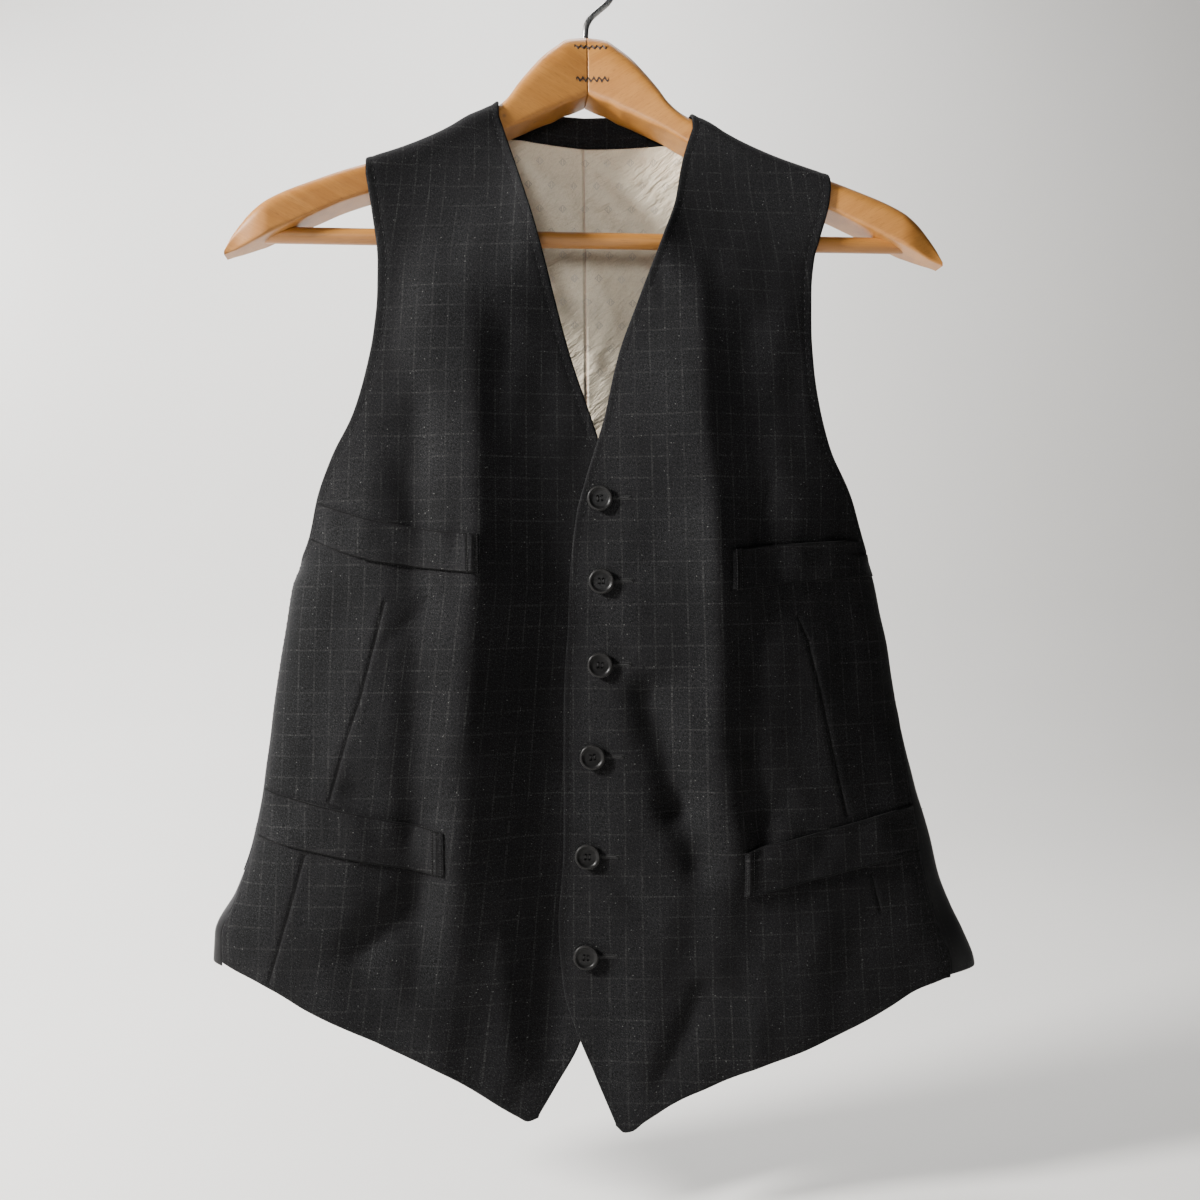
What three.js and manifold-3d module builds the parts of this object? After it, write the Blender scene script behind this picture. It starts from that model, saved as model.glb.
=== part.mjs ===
// Suit waistcoat, buttoned, on a contoured wooden hanger. Millimetres, +Z up, +X to the viewer's
// right and -Y to the front. The origin is the seat under the top of the hanger's hook.
//
// Every cloth piece is a wall on one shared body. At each height the body has a front and a back
// curve, both rounded ovals from the left side turn to the right one. A place on a curve is its
// turn: -90 degrees at the left side, 0 at the middle and 90 at the right side. Up at the shoulders
// the curves close in on the hanger's arm, and the walls wrap over it to the shoulder seam.
import * as THREE from 'three';
import { mergeVertices } from 'three/addons/utils/BufferGeometryUtils.js';
import Module from 'manifold-3d';

const wasm = await Module();
wasm.setup();

const DEGREE = Math.PI / 180;
const FRONT = -1;
const BACK = 1;
const LEFT = -1;
const RIGHT = 1;

// Thickness of each cloth, and the gap left between two pieces
const FRONT_CLOTH = 2.0;
const BACK_CLOTH = 1.2;
const LINING_CLOTH = 1.0;
const BAND_CLOTH = 2.0;
const WELT_CLOTH = 1.8;
const STRAP_CLOTH = 1.4;
const SEAM_GAP = 0.35;
const SIDE_SEAM_GAP = 0.9;
const LAY_GAP = 0.5;

// The body's curves: places of both side turns, their depth, and the reach of front and back
const OVAL_POWER = 2.5;
const SECTIONS = [
  { z: -150, left: -182, right: 182, side: -10, front: 41, back: 27 },
  { z: -300, left: -181, right: 179, side: -8, front: 44, back: 30 },
  { z: -383, left: -179, right: 176, side: -8, front: 44, back: 32 },
  { z: -400, left: -184.5, right: 180, side: -8, front: 44, back: 32 },
  { z: -432, left: -189.5, right: 186.5, side: -8, front: 43, back: 32 },
  { z: -490, left: -199, right: 196, side: -8, front: 41, back: 31 },
  { z: -530, left: -205, right: 206, side: -8, front: 40, back: 31 },
  { z: -560, left: -211.5, right: 215.5, side: -8, front: 39, back: 31 },
  { z: -585, left: -221, right: 220, side: -8, front: 38, back: 31 },
  { z: -610, left: -234.5, right: 229, side: -7, front: 37, back: 31 },
  { z: -648, left: -236, right: 246, side: -6, front: 36, back: 31 },
  { z: -740, left: -236, right: 250, side: -6, front: 35, back: 31 },
];

// Neck edge, front edge and cutaway of the panel on top (viewer's right) and of the one below
const OVER_EDGE = [
  { z: -104, x: 68.5 },
  { z: -138, x: 57 },
  { z: -166, x: 50.5 },
  { z: -190, x: 41 },
  { z: -227, x: 26.6 },
  { z: -263, x: 13.6 },
  { z: -301, x: 4.6 },
  { z: -336, x: -6.8 },
  { z: -358, x: -12.8 },
  { z: -389, x: -16.2 },
  { z: -424, x: -18.3 },
  { z: -470, x: -21.2 },
  { z: -566, x: -22.6 },
  { z: -611, x: -25.2 },
  { z: -647, x: -22.5 },
  { z: -680, x: -13 },
  { z: -701, x: -4.4 },
  { z: -731, x: 8.1 },
];
const UNDER_EDGE = [
  { z: -103, x: -59 },
  { z: -130, x: -50.3 },
  { z: -174, x: -38.9 },
  { z: -201, x: -32 },
  { z: -265, x: -14.5 },
  { z: -293, x: -5.1 },
  { z: -313, x: 1.4 },
  { z: -340, x: 9 },
  { z: -365, x: 12.5 },
  { z: -400, x: 13.5 },
  { z: -450, x: 11.5 },
  { z: -505, x: 8 },
  { z: -566, x: 4.5 },
  { z: -628, x: 0 },
  { z: -655, x: -5 },
  { z: -681, x: -12.8 },
  { z: -691, x: -17.8 },
  { z: -705, x: -27.1 },
  { z: -724, x: -40.3 },
];

// Armhole edges of the fronts, from the shoulder down to the underarm
const ARMHOLE_LEFT = [
  { z: -145, x: -138 },
  { z: -178, x: -133 },
  { z: -206, x: -130 },
  { z: -226, x: -130.3 },
  { z: -250, x: -132.8 },
  { z: -274, x: -138 },
  { z: -298, x: -145.8 },
  { z: -322, x: -158.3 },
  { z: -346, x: -167.6 },
  { z: -371, x: -173.5 },
  { z: -383, x: -178.5 },
];
const ARMHOLE_RIGHT = [
  { z: -150, x: 149.5 },
  { z: -166, x: 147.5 },
  { z: -187, x: 141.5 },
  { z: -200, x: 137.5 },
  { z: -223, x: 134.5 },
  { z: -247, x: 133.7 },
  { z: -272, x: 135.6 },
  { z: -297, x: 139.9 },
  { z: -322, x: 147 },
  { z: -347, x: 159.8 },
  { z: -373, x: 169.4 },
  { z: -384, x: 175.5 },
];
const UNDERARM_Z = -384;
// How far the back's armhole edge stands inside the front's
const BACK_ARMHOLE_INSET = 5;

// Turn of the side seams below the underarm
const SIDE_SEAM = [
  { z: -384, left: 90, right: 90 },
  { z: -470, left: 90, right: 90 },
  { z: -500, left: 90, right: 79 },
  { z: -541, left: 89, right: 70 },
  { z: -570, left: 85, right: 67 },
  { z: -603, left: 76, right: 66 },
  { z: -626, left: 75, right: 64 },
  { z: -655, left: 74, right: 61.5 },
];

// Hem of the fronts and of the back
const HEM_LEFT = [
  { x: -235, z: -623 },
  { x: -219, z: -631 },
  { x: -200, z: -639.5 },
  { x: -178, z: -653 },
  { x: -130, z: -677 },
  { x: -98, z: -693 },
  { x: -74, z: -708.5 },
  { x: -52, z: -723 },
  { x: -46, z: -726 },
  { x: -40, z: -724.5 },
];
const HEM_RIGHT = [
  { x: 8, z: -731.5 },
  { x: 13, z: -735.5 },
  { x: 18, z: -734.5 },
  { x: 25, z: -729 },
  { x: 47, z: -716 },
  { x: 95, z: -697.5 },
  { x: 126, z: -688 },
  { x: 160, z: -676 },
  { x: 180, z: -667 },
  { x: 199, z: -657.5 },
  { x: 219, z: -652 },
];
const HEM_BACK = [
  { x: -236, z: -627 },
  { x: -200, z: -633 },
  { x: 0, z: -642 },
  { x: 200, z: -651 },
  { x: 248, z: -649 },
];

// Largest folds: a soft ridge (rise above 0) or trough along a line, fading over `ends` past both
// of its ends, on the front or the back
const FOLDS = [
  { face: FRONT, x1: -8, z1: -260, x2: -10, z2: -705, half: 46, rise: -13, ends: 90 },
  { face: FRONT, x1: 60, z1: -240, x2: 71, z2: -390, half: 20, rise: 4.5, ends: 50 },
  { face: FRONT, x1: 71, z1: -390, x2: 76, z2: -560, half: 20, rise: 4, ends: 60 },
  { face: FRONT, x1: -90, z1: -240, x2: -70, z2: -385, half: 24, rise: 3.5, ends: 50 },
  { face: FRONT, x1: -74, z1: -420, x2: -88, z2: -590, half: 26, rise: 3, ends: 60 },
  { face: FRONT, x1: 32, z1: -470, x2: 62, z2: -566, half: 13, rise: -3, ends: 22 },
  { face: FRONT, x1: -108, z1: -592, x2: -150, z2: -620, half: 13, rise: -3, ends: 22 },
  { face: FRONT, x1: -150, z1: -520, x2: -102, z2: -536, half: 13, rise: -2.5, ends: 20 },
  { face: FRONT, x1: 96, z1: -545, x2: 112, z2: -536, half: 13, rise: -2.5, ends: 14 },
  { face: FRONT, x1: 64, z1: -655, x2: 44, z2: -700, half: 15, rise: -3, ends: 26 },
  { face: FRONT, x1: 128, z1: -620, x2: 112, z2: -690, half: 20, rise: 3, ends: 30 },
  { face: FRONT, x1: -116, z1: -630, x2: -96, z2: -690, half: 18, rise: 2.5, ends: 30 },
  { face: FRONT, x1: 150, z1: -420, x2: 168, z2: -520, half: 15, rise: -2.5, ends: 40 },
  { face: FRONT, x1: -150, z1: -410, x2: -172, z2: -510, half: 15, rise: -2.5, ends: 40 },
  { face: BACK, x1: 0, z1: -200, x2: 0, z2: -470, half: 34, rise: -5, ends: 80 },
  { face: BACK, x1: -74, z1: -200, x2: -70, z2: -380, half: 22, rise: 3.5, ends: 60 },
  { face: BACK, x1: 72, z1: -210, x2: 66, z2: -370, half: 22, rise: 3.5, ends: 60 },
  { face: BACK, x1: -95, z1: -580, x2: -120, z2: -650, half: 20, rise: 4, ends: 30 },
  { face: BACK, x1: 92, z1: -585, x2: 124, z2: -650, half: 20, rise: 4, ends: 30 },
  { face: BACK, x1: 0, z1: -608, x2: 4, z2: -650, half: 26, rise: 4.5, ends: 28 },
  { face: BACK, x1: 190, z1: -590, x2: 206, z2: -650, half: 18, rise: 4, ends: 26 },
];

// Hanger: top edge and height of one arm by the distance from its middle
const HANGER = [
  { x: 0, top: -53.8, height: 39.2 },
  { x: 12, top: -55.8, height: 42.7 },
  { x: 20, top: -61.2, height: 41.8 },
  { x: 28, top: -67.9, height: 38.6 },
  { x: 36, top: -76.9, height: 33.6 },
  { x: 44, top: -87, height: 27.5 },
  { x: 50, top: -95.8, height: 21.7 },
  { x: 57, top: -102.7, height: 19.3 },
  { x: 63, top: -106.6, height: 18.9 },
  { x: 75, top: -112.8, height: 20.2 },
  { x: 85, top: -119.6, height: 20.2 },
  { x: 95, top: -125.4, height: 20.2 },
  { x: 115, top: -135, height: 20.2 },
  { x: 135, top: -142.8, height: 20.4 },
  { x: 150, top: -148.2, height: 21 },
  { x: 167, top: -155.2, height: 22.5 },
  { x: 184, top: -162.8, height: 23.5 },
  { x: 196, top: -169.8, height: 22.8 },
  { x: 204, top: -176.6, height: 20 },
  { x: 211, top: -185, height: 15 },
  { x: 216, top: -192.5, height: 9.5 },
  { x: 219.5, top: -200, height: 3.5 },
];
const HANGER_DEPTH = 27;
const HANGER_TIP_DEPTH = 13;
const HANGER_SWEEP = 0.14;
const HANGER_TOP_POWER = 2.8;
const HANGER_BASE_POWER = 5;
const BAR = { diameter: 10, z: -188.6, reach: 197, y: -26.6 };
const HOOK = { wire: 4, radius: 19, foot: -76 };

// Walls over the arm: reach before and behind its middle line, and rise over its top
const ARM_HALF_HEIGHT = 9;
const WRAP = { front: 15.2, back: 17.6, rise: 2.2, power: 2.8, seam: 5 };
const SHOULDER_BLEND = 115;
// Back neck edge, and where the back starts to wrap over the arm beside it
const NECK = { top: -97.5, base: -110, inner: 46, outer: 60 };
const BAND = { half: 41, bottom: -114.6 };
const LINING = { top: -115.2, hem: 18, inset: 14, turn: 86, gap: 1.8 };
const NECK_SAG = { x: 14, depth: 3.2, wide: 31 };

// Overlap at the front edge: full lift for `full` millimetres, gone after `gone`
const OVERLAP = { full: 36, gone: 75, top: -240, rise: 70 };

const BUTTON = { diameter: 15.6, height: 3.0, rim: 1.5, hole: 1.7, spread: 1.9, stand: 0.9 };
const BUTTONS = [
  { z: -348.6, x: 2.0 },
  { z: -398.5, x: 2.9 },
  { z: -449.1, x: 1.5 },
  { z: -505.1, x: -3.5 },
  { z: -565.9, x: -6.9 },
  { z: -627.5, x: -8.2 },
];

// Welts: the inner end, the outer end's distance from the armhole or side seam, and the heights
// of the top and bottom edges
const WELTS = [
  {
    name: 'welt_chest_left', side: LEFT, x: -72, inset: 3, outerGap: 0.6, sag: 3.5,
    topIn: -370.4, topOut: -350, bottomIn: -393.4, bottomOut: -371.5,
  },
  {
    name: 'welt_chest_right', side: RIGHT, x: 77.8, inset: 8, outerGap: 1.6, sag: -1,
    topIn: -380.8, topOut: -374.5, bottomIn: -405, bottomOut: -397,
  },
  {
    name: 'welt_hip_left', side: LEFT, x: -94, inset: 10, outerGap: 0.5, sag: 0.5,
    topIn: -547.4, topOut: -521.5, bottomIn: -573.6, bottomOut: -550,
  },
  {
    name: 'welt_hip_right', side: RIGHT, x: 86, inset: 1, outerGap: 0.5, sag: -1,
    topIn: -564.7, topOut: -541.5, bottomIn: -592, bottomOut: -570.8,
  },
];

// Cinch straps on the back, from the side seams to the buckle
const STRAP = { z: -560, turn: 86, seamWidth: 29, width: 20, taper: 100, tail: -40, under: 9, gap: 0.8 };
const BUCKLE = { x: 0, length: 27, width: 30, bar: 3.2, thick: 1.2, lift: 3.8, bend: 5 };

const WOOL = { color: 0x1d1e21, roughness: 0.92, metalness: 0 };
const SATIN = { color: 0x17181b, roughness: 0.45, metalness: 0 };
const CREAM = { color: 0xcfc3ab, roughness: 0.6, metalness: 0 };
const WOOD = { color: 0xc08a4e, roughness: 0.45, metalness: 0 };
const HORN = { color: 0x141416, roughness: 0.35, metalness: 0 };
const STEEL = { color: 0xb4b6b8, roughness: 0.3, metalness: 1 };

const lerp = (a, b, t) => a + (b - a) * t;
const clamp = (t) => Math.min(Math.max(t, 0), 1);
const smooth = (t) => clamp(t) ** 2 * (3 - 2 * clamp(t));
const power = (value, exponent) => Math.sign(value) * Math.abs(value) ** exponent;

// A smooth curve through a table's rows that never swings past them, level beyond both ends
function curve(table, by, column) {
  const rows = [...table].sort((a, b) => a[by] - b[by]);
  const at = rows.map((row) => row[by]);
  const value = rows.map((row) => row[column]);
  const last = rows.length - 1;
  const rate = (i) => (value[i + 1] - value[i]) / (at[i + 1] - at[i]);
  const slope = rows.map((row, i) => {
    if (i === 0) return rate(0);
    if (i === last) return rate(last - 1);
    const [before, after] = [rate(i - 1), rate(i)];
    return before * after <= 0 ? 0 : (2 * before * after) / (before + after);
  });
  return (place) => {
    if (place <= at[0]) return value[0];
    if (place >= at[last]) return value[last];
    const i = at.findIndex((start, k) => place < at[k + 1]);
    const span = at[i + 1] - at[i];
    const t = (place - at[i]) / span;
    const pull = slope[i] * span * (t ** 3 - 2 * t ** 2 + t) + slope[i + 1] * span * (t ** 3 - t ** 2);
    return lerp(value[i], value[i + 1], 3 * t ** 2 - 2 * t ** 3) + pull;
  };
}

const body = {
  left: curve(SECTIONS, 'z', 'left'),
  right: curve(SECTIONS, 'z', 'right'),
  side: curve(SECTIONS, 'z', 'side'),
  front: curve(SECTIONS, 'z', 'front'),
  back: curve(SECTIONS, 'z', 'back'),
};
const overEdge = curve(OVER_EDGE, 'z', 'x');
const underEdge = curve(UNDER_EDGE, 'z', 'x');
const armhole = {
  [LEFT]: curve(ARMHOLE_LEFT, 'z', 'x'),
  [RIGHT]: curve(ARMHOLE_RIGHT, 'z', 'x'),
};
const sideSeam = {
  [LEFT]: curve(SIDE_SEAM, 'z', 'left'),
  [RIGHT]: curve(SIDE_SEAM, 'z', 'right'),
};
const hem = {
  [LEFT]: curve(HEM_LEFT, 'x', 'z'),
  [RIGHT]: curve(HEM_RIGHT, 'x', 'z'),
};
const backHem = curve(HEM_BACK, 'x', 'z');
const hangerTop = curve(HANGER, 'x', 'top');
const hangerHeight = curve(HANGER, 'x', 'height');
const armTop = (x) => hangerTop(Math.abs(x));
const neckSag = (x) => Math.max(0, NECK_SAG.depth - ((x - NECK_SAG.x) / NECK_SAG.wide) ** 2);
const armY = (x) => -HANGER_SWEEP * Math.abs(x);

// Middle and half width of the body at one height
function span(z) {
  return { middle: (body.left(z) + body.right(z)) / 2, half: (body.right(z) - body.left(z)) / 2 };
}

// Turn, in radians, at which a body curve has this x
function turnAt(x, z) {
  const { middle, half } = span(z);
  const share = Math.min(Math.abs(x - middle) / half, 1);
  return Math.sign(x - middle) * Math.asin(share ** (OVAL_POWER / 2));
}

function foldRise(face, x, z) {
  let total = 0;
  for (const fold of FOLDS) {
    if (fold.face !== face) continue;
    const along = new THREE.Vector2(fold.x2 - fold.x1, fold.z2 - fold.z1);
    const length = along.length();
    along.normalize();
    const from = new THREE.Vector2(x - fold.x1, z - fold.z1);
    const run = from.dot(along);
    const off = from.cross(along);
    const past = Math.max(-run, run - length, 0);
    total += fold.rise * Math.exp(-((off / fold.half) ** 2)) * (1 - smooth(past / fold.ends));
  }
  return total;
}

// Height at which a wall starts to wrap over the arm
function wrapStart(face, x) {
  const level = armTop(x) - ARM_HALF_HEIGHT;
  return face === FRONT ? level : Math.min(level, NECK.base);
}

const wrapReach = (face) => (face === FRONT ? WRAP.front : WRAP.back);

// Point of the body's middle surface at a turn and height below the shoulder. A turn over 90
// degrees goes on around the side onto the other face's curve.
function wall(face, turn, z) {
  const { middle, half } = span(z);
  const [s, c] = [Math.sin(turn), face * Math.cos(turn)];
  const depth = c < 0 ? body.front(z) : body.back(z);
  const x = middle + half * power(s, 2 / OVAL_POWER);
  const ovalY = body.side(z) + depth * power(c, 2 / OVAL_POWER);
  const start = wrapStart(face, x);
  const near = smooth((z - start + SHOULDER_BLEND) / SHOULDER_BLEND);
  const y = lerp(ovalY, armY(x) + face * wrapReach(face), near);
  const out = new THREE.Vector2(
    power(s, 2 - 2 / OVAL_POWER) / half,
    power(c, 2 - 2 / OVAL_POWER) / depth,
  ).normalize();
  const rise = foldRise(face, x, z) * (1 - near);
  return new THREE.Vector3(x + out.x * rise, y + out.y * rise, z);
}

// Point over the arm: t runs from the wrap's start to the shoulder seam. Beside the neck the back
// goes straight up to the neck edge.
function overArm(face, x, t) {
  const reach = wrapReach(face);
  const seamY = WRAP.seam + face * (SEAM_GAP / 2);
  const seamAngle = Math.acos(power((face * seamY) / reach, WRAP.power / 2));
  const angle = seamAngle * t;
  const rise = (ARM_HALF_HEIGHT + WRAP.rise) * Math.sin(angle) ** (2 / WRAP.power);
  const y = armY(x) + face * reach * power(Math.cos(angle), 2 / WRAP.power);
  const wrapped = new THREE.Vector3(x, y, armTop(x) - ARM_HALF_HEIGHT + rise);
  if (face === FRONT) return wrapped;
  const upright = new THREE.Vector3(x, armY(x) + reach, lerp(wrapStart(face, x), NECK.top, t));
  return upright.lerp(wrapped, smooth((Math.abs(x) - NECK.inner) / (NECK.outer - NECK.inner)));
}

// Turns that split a body curve between two turns into equal lengths of cloth
function evenTurn(face, from, to, share, z, insetFrom, insetTo) {
  const steps = 40;
  const lengths = [0];
  let before = wall(face, from, z);
  for (let i = 1; i <= steps; i += 1) {
    const point = wall(face, lerp(from, to, i / steps), z);
    lengths.push(lengths[i - 1] + point.distanceTo(before));
    before = point;
  }
  const goal = lerp(insetFrom, lengths[steps] - insetTo, share);
  const i = Math.max(1, lengths.findIndex((length) => length >= goal));
  const part = (goal - lengths[i - 1]) / (lengths[i] - lengths[i - 1]);
  return lerp(from, to, (i - 1 + part) / steps);
}

// Turn of a side's outer edge: the armhole above the underarm and the side seam below it
function outerTurn(side, face, z) {
  const seam = sideSeam[side](z);
  if (z < UNDERARM_Z) return side * (face === FRONT ? seam : 180 - seam) * DEGREE;
  const inset = face === BACK ? BACK_ARMHOLE_INSET * smooth((z - UNDERARM_Z) / 60) : 0;
  return turnAt(armhole[side](z) - side * inset, z);
}

// Grid of points of one panel. Columns run from edge `a` to edge `b`, and rows go up from the
// lower edge to the wrap and over it.
function panelGrid(panel) {
  const { face, columns, rows, overRows } = panel;
  const turn = (share, z) =>
    evenTurn(face, panel.a(z), panel.b(z), share, z, panel.insetA, panel.insetB);
  const place = (share, z) => wall(face, turn(share, z), z);
  const settle = (share, level) => {
    let z = level(0);
    for (let i = 0; i < 12; i += 1) z = level(place(share, z).x);
    return z;
  };
  const grid = [];
  for (let j = 0; j <= columns; j += 1) {
    const share = panel.spread ? panel.spread(j / columns) : j / columns;
    const low = settle(share, panel.lower);
    const high = settle(share, panel.upper);
    const line = [];
    for (let i = 0; i <= rows; i += 1) line.push(place(share, lerp(low, high, i / rows)));
    const x = line[rows].x;
    for (let i = 1; i <= overRows; i += 1) line.push(overArm(face, x, i / overRows));
    grid.push(line);
  }
  return grid;
}

// Unit normals of a grid, pointing away from the body's middle on its own face
function gridNormals(grid, face) {
  const normals = grid.map((line, j) =>
    line.map((point, i) => {
      const across = grid[Math.min(j + 1, grid.length - 1)][i].clone();
      across.sub(grid[Math.max(j - 1, 0)][i]);
      const up = line[Math.min(i + 1, line.length - 1)].clone();
      up.sub(line[Math.max(i - 1, 0)]);
      return across.cross(up).normalize();
    }),
  );
  const middle = normals[Math.floor(grid.length / 2)][Math.floor(grid[0].length / 3)];
  const sign = Math.sign(middle.y * face);
  return normals.map((line) => line.map((normal) => normal.multiplyScalar(sign)));
}

// Closed wall on a grid: its middle is moved out by lift(j, i) and it is `thick` through
function wallGeometry(grid, face, thick, lift) {
  const normals = gridNormals(grid, face);
  const columns = grid.length;
  const rows = grid[0].length;
  const positions = [];
  for (const side of [1, -1]) {
    for (let j = 0; j < columns; j += 1) {
      for (let i = 0; i < rows; i += 1) {
        const out = lift(j, i) + (side * thick) / 2;
        const point = grid[j][i].clone().addScaledVector(normals[j][i], out);
        positions.push(point.x, point.y, point.z);
      }
    }
  }
  const index = (layer, j, i) => (layer * columns + j) * rows + i;
  const triangles = [];
  const quad = (a, b, c, d) => triangles.push(a, b, c, a, c, d);
  for (let j = 0; j < columns - 1; j += 1) {
    for (let i = 0; i < rows - 1; i += 1) {
      quad(index(0, j, i), index(0, j + 1, i), index(0, j + 1, i + 1), index(0, j, i + 1));
      quad(index(1, j, i), index(1, j, i + 1), index(1, j + 1, i + 1), index(1, j + 1, i));
    }
    quad(index(0, j + 1, 0), index(0, j, 0), index(1, j, 0), index(1, j + 1, 0));
    const top = rows - 1;
    quad(index(0, j, top), index(0, j + 1, top), index(1, j + 1, top), index(1, j, top));
  }
  for (let i = 0; i < rows - 1; i += 1) {
    quad(index(0, 0, i), index(0, 0, i + 1), index(1, 0, i + 1), index(1, 0, i));
    const end = columns - 1;
    quad(index(0, end, i + 1), index(0, end, i), index(1, end, i), index(1, end, i + 1));
  }
  return facingOut(positions, triangles);
}

// Geometry of a closed mesh, turned inside out where its faces point in
function facingOut(positions, triangles) {
  let volume = 0;
  const corner = (k) => new THREE.Vector3().fromArray(positions, triangles[k] * 3);
  for (let k = 0; k < triangles.length; k += 3) {
    volume += corner(k).dot(corner(k + 1).cross(corner(k + 2)));
  }
  if (volume < 0) triangles.reverse();
  const geometry = new THREE.BufferGeometry();
  geometry.setAttribute('position', new THREE.Float32BufferAttribute(positions, 3));
  geometry.setIndex(triangles);
  geometry.computeVertexNormals();
  return geometry;
}

// Closed mesh through rings of points, with a flat cap at each end
function loft(rings) {
  const count = rings[0].length;
  const positions = rings.flat().flatMap((point) => [point.x, point.y, point.z]);
  const triangles = [];
  for (let r = 0; r < rings.length - 1; r += 1) {
    for (let k = 0; k < count; k += 1) {
      const next = (k + 1) % count;
      const [a, b] = [r * count + k, r * count + next];
      triangles.push(a, b, b + count, a, b + count, a + count);
    }
  }
  const end = (rings.length - 1) * count;
  for (let k = 1; k < count - 1; k += 1) {
    triangles.push(0, k + 1, k);
    triangles.push(end, end + k, end + k + 1);
  }
  return facingOut(positions, triangles);
}

function toSolid(geometry) {
  const plain = geometry.clone();
  plain.deleteAttribute('normal');
  plain.deleteAttribute('uv');
  const merged = mergeVertices(plain, 1e-4);
  return new wasm.Manifold(new wasm.Mesh({
    numProp: 3,
    vertProperties: Float32Array.from(merged.attributes.position.array),
    triVerts: Uint32Array.from(merged.index.array),
  }));
}

function fromSolid(solid) {
  const mesh = solid.getMesh();
  const geometry = new THREE.BufferGeometry();
  geometry.setAttribute('position', new THREE.BufferAttribute(mesh.vertProperties, 3));
  geometry.setIndex(new THREE.BufferAttribute(mesh.triVerts, 1));
  geometry.computeVertexNormals();
  return geometry;
}

const waistcoat = new THREE.Group();

function addPiece(name, geometry, finish) {
  const mesh = new THREE.Mesh(geometry, new THREE.MeshStandardMaterial(finish));
  mesh.name = name;
  waistcoat.add(mesh);
  return mesh;
}

// Lift of the top front over the one below, by the cloth's distance from its front edge
function overLift(distance, z) {
  const across = 1 - smooth((distance - OVERLAP.full) / (OVERLAP.gone - OVERLAP.full));
  return (FRONT_CLOTH + LAY_GAP) * across * smooth((OVERLAP.top - z) / OVERLAP.rise);
}

function addFront(name, side) {
  const edge = side === RIGHT ? overEdge : underEdge;
  const grid = panelGrid({
    face: FRONT,
    columns: 20,
    rows: 32,
    overRows: 4,
    a: (z) => turnAt(edge(z), z),
    b: (z) => outerTurn(side, FRONT, z),
    insetA: 0,
    insetB: SIDE_SEAM_GAP / 2,
    lower: hem[side],
    upper: (x) => wrapStart(FRONT, x),
  });
  const lift = (j, i) => {
    if (side === LEFT) return 0;
    return overLift(grid[j][i].distanceTo(grid[0][i]), grid[j][i].z);
  };
  addPiece(name, wallGeometry(grid, FRONT, FRONT_CLOTH, lift), WOOL);
}

function addBack(name, side) {
  const grid = panelGrid({
    face: BACK,
    columns: 12,
    rows: 32,
    overRows: 3,
    a: (z) => turnAt(side * 0.01, z),
    b: (z) => outerTurn(side, BACK, z),
    insetA: SEAM_GAP / 2,
    insetB: SIDE_SEAM_GAP / 2,
    lower: backHem,
    upper: (x) => wrapStart(BACK, x),
  });
  addPiece(name, wallGeometry(grid, BACK, BACK_CLOTH, () => 0), SATIN);
}

function addLining() {
  const top = (x) => Math.min(LINING.top - neckSag(x), wrapStart(BACK, x) - 4);
  const grid = panelGrid({
    face: BACK,
    columns: 16,
    rows: 17,
    overRows: 0,
    a: (z) => Math.max(outerTurn(LEFT, BACK, z), -LINING.turn * DEGREE),
    b: (z) => Math.min(outerTurn(RIGHT, BACK, z), LINING.turn * DEGREE),
    insetA: LINING.inset,
    insetB: LINING.inset,
    spread: (t) => (t + (1 - Math.cos(Math.PI * t)) / 2) / 2,
    lower: (x) => backHem(x) + LINING.hem,
    upper: top,
  });
  const lift = () => -(BACK_CLOTH + LINING_CLOTH) / 2 - LINING.gap;
  addPiece('back_lining', wallGeometry(grid, BACK, LINING_CLOTH, lift), CREAM);
}

// Facing of the back neck: it lies inside the back, from the neck edge down to the lining
function addNeckBand() {
  const columns = 14;
  const grid = [];
  for (let j = 0; j <= columns; j += 1) {
    const x = lerp(-BAND.half, BAND.half, j / columns);
    const low = new THREE.Vector3(x, armY(x) + WRAP.back, BAND.bottom - neckSag(x));
    const line = [low, new THREE.Vector3(x, armY(x) + WRAP.back, NECK.base)];
    for (const t of [0.5, 1]) line.push(overArm(BACK, x, t));
    grid.push(line);
  }
  const lift = () => -(BACK_CLOTH + BAND_CLOTH) / 2 - SEAM_GAP;
  addPiece('back_neck_band', wallGeometry(grid, BACK, BAND_CLOTH, lift), WOOL);
}

function addWelt(welt) {
  const columns = 20;
  const grid = [];
  for (let j = 0; j <= columns; j += 1) {
    const along = j / columns;
    const top = lerp(welt.topIn, welt.topOut, along) - welt.sag * Math.sin(Math.PI * along);
    const bottom = lerp(welt.bottomIn, welt.bottomOut, along) - welt.sag * Math.sin(Math.PI * along);
    const line = [];
    for (const up of [0, 0.5, 1]) {
      const z = lerp(bottom, top, up);
      const [from, to] = [turnAt(welt.x, z), outerTurn(welt.side, FRONT, z)];
      line.push(wall(FRONT, evenTurn(FRONT, from, to, along, z, 0, welt.inset), z));
    }
    grid.push(line);
  }
  const lift = (j) => (FRONT_CLOTH + WELT_CLOTH) / 2 + lerp(LAY_GAP, welt.outerGap, j / columns);
  addPiece(welt.name, wallGeometry(grid, FRONT, WELT_CLOTH, lift), WOOL);
}

// Point on the front's middle surface by x and z, and its outward normal
function frontAt(x, z) {
  const at = (dx, dz) => wall(FRONT, turnAt(x + dx, z + dz), z + dz);
  const across = at(1, 0).sub(at(-1, 0));
  const up = at(0, 1).sub(at(0, -1));
  const normal = across.cross(up).normalize();
  return { point: at(0, 0), normal: normal.multiplyScalar(-Math.sign(normal.y)) };
}

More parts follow.
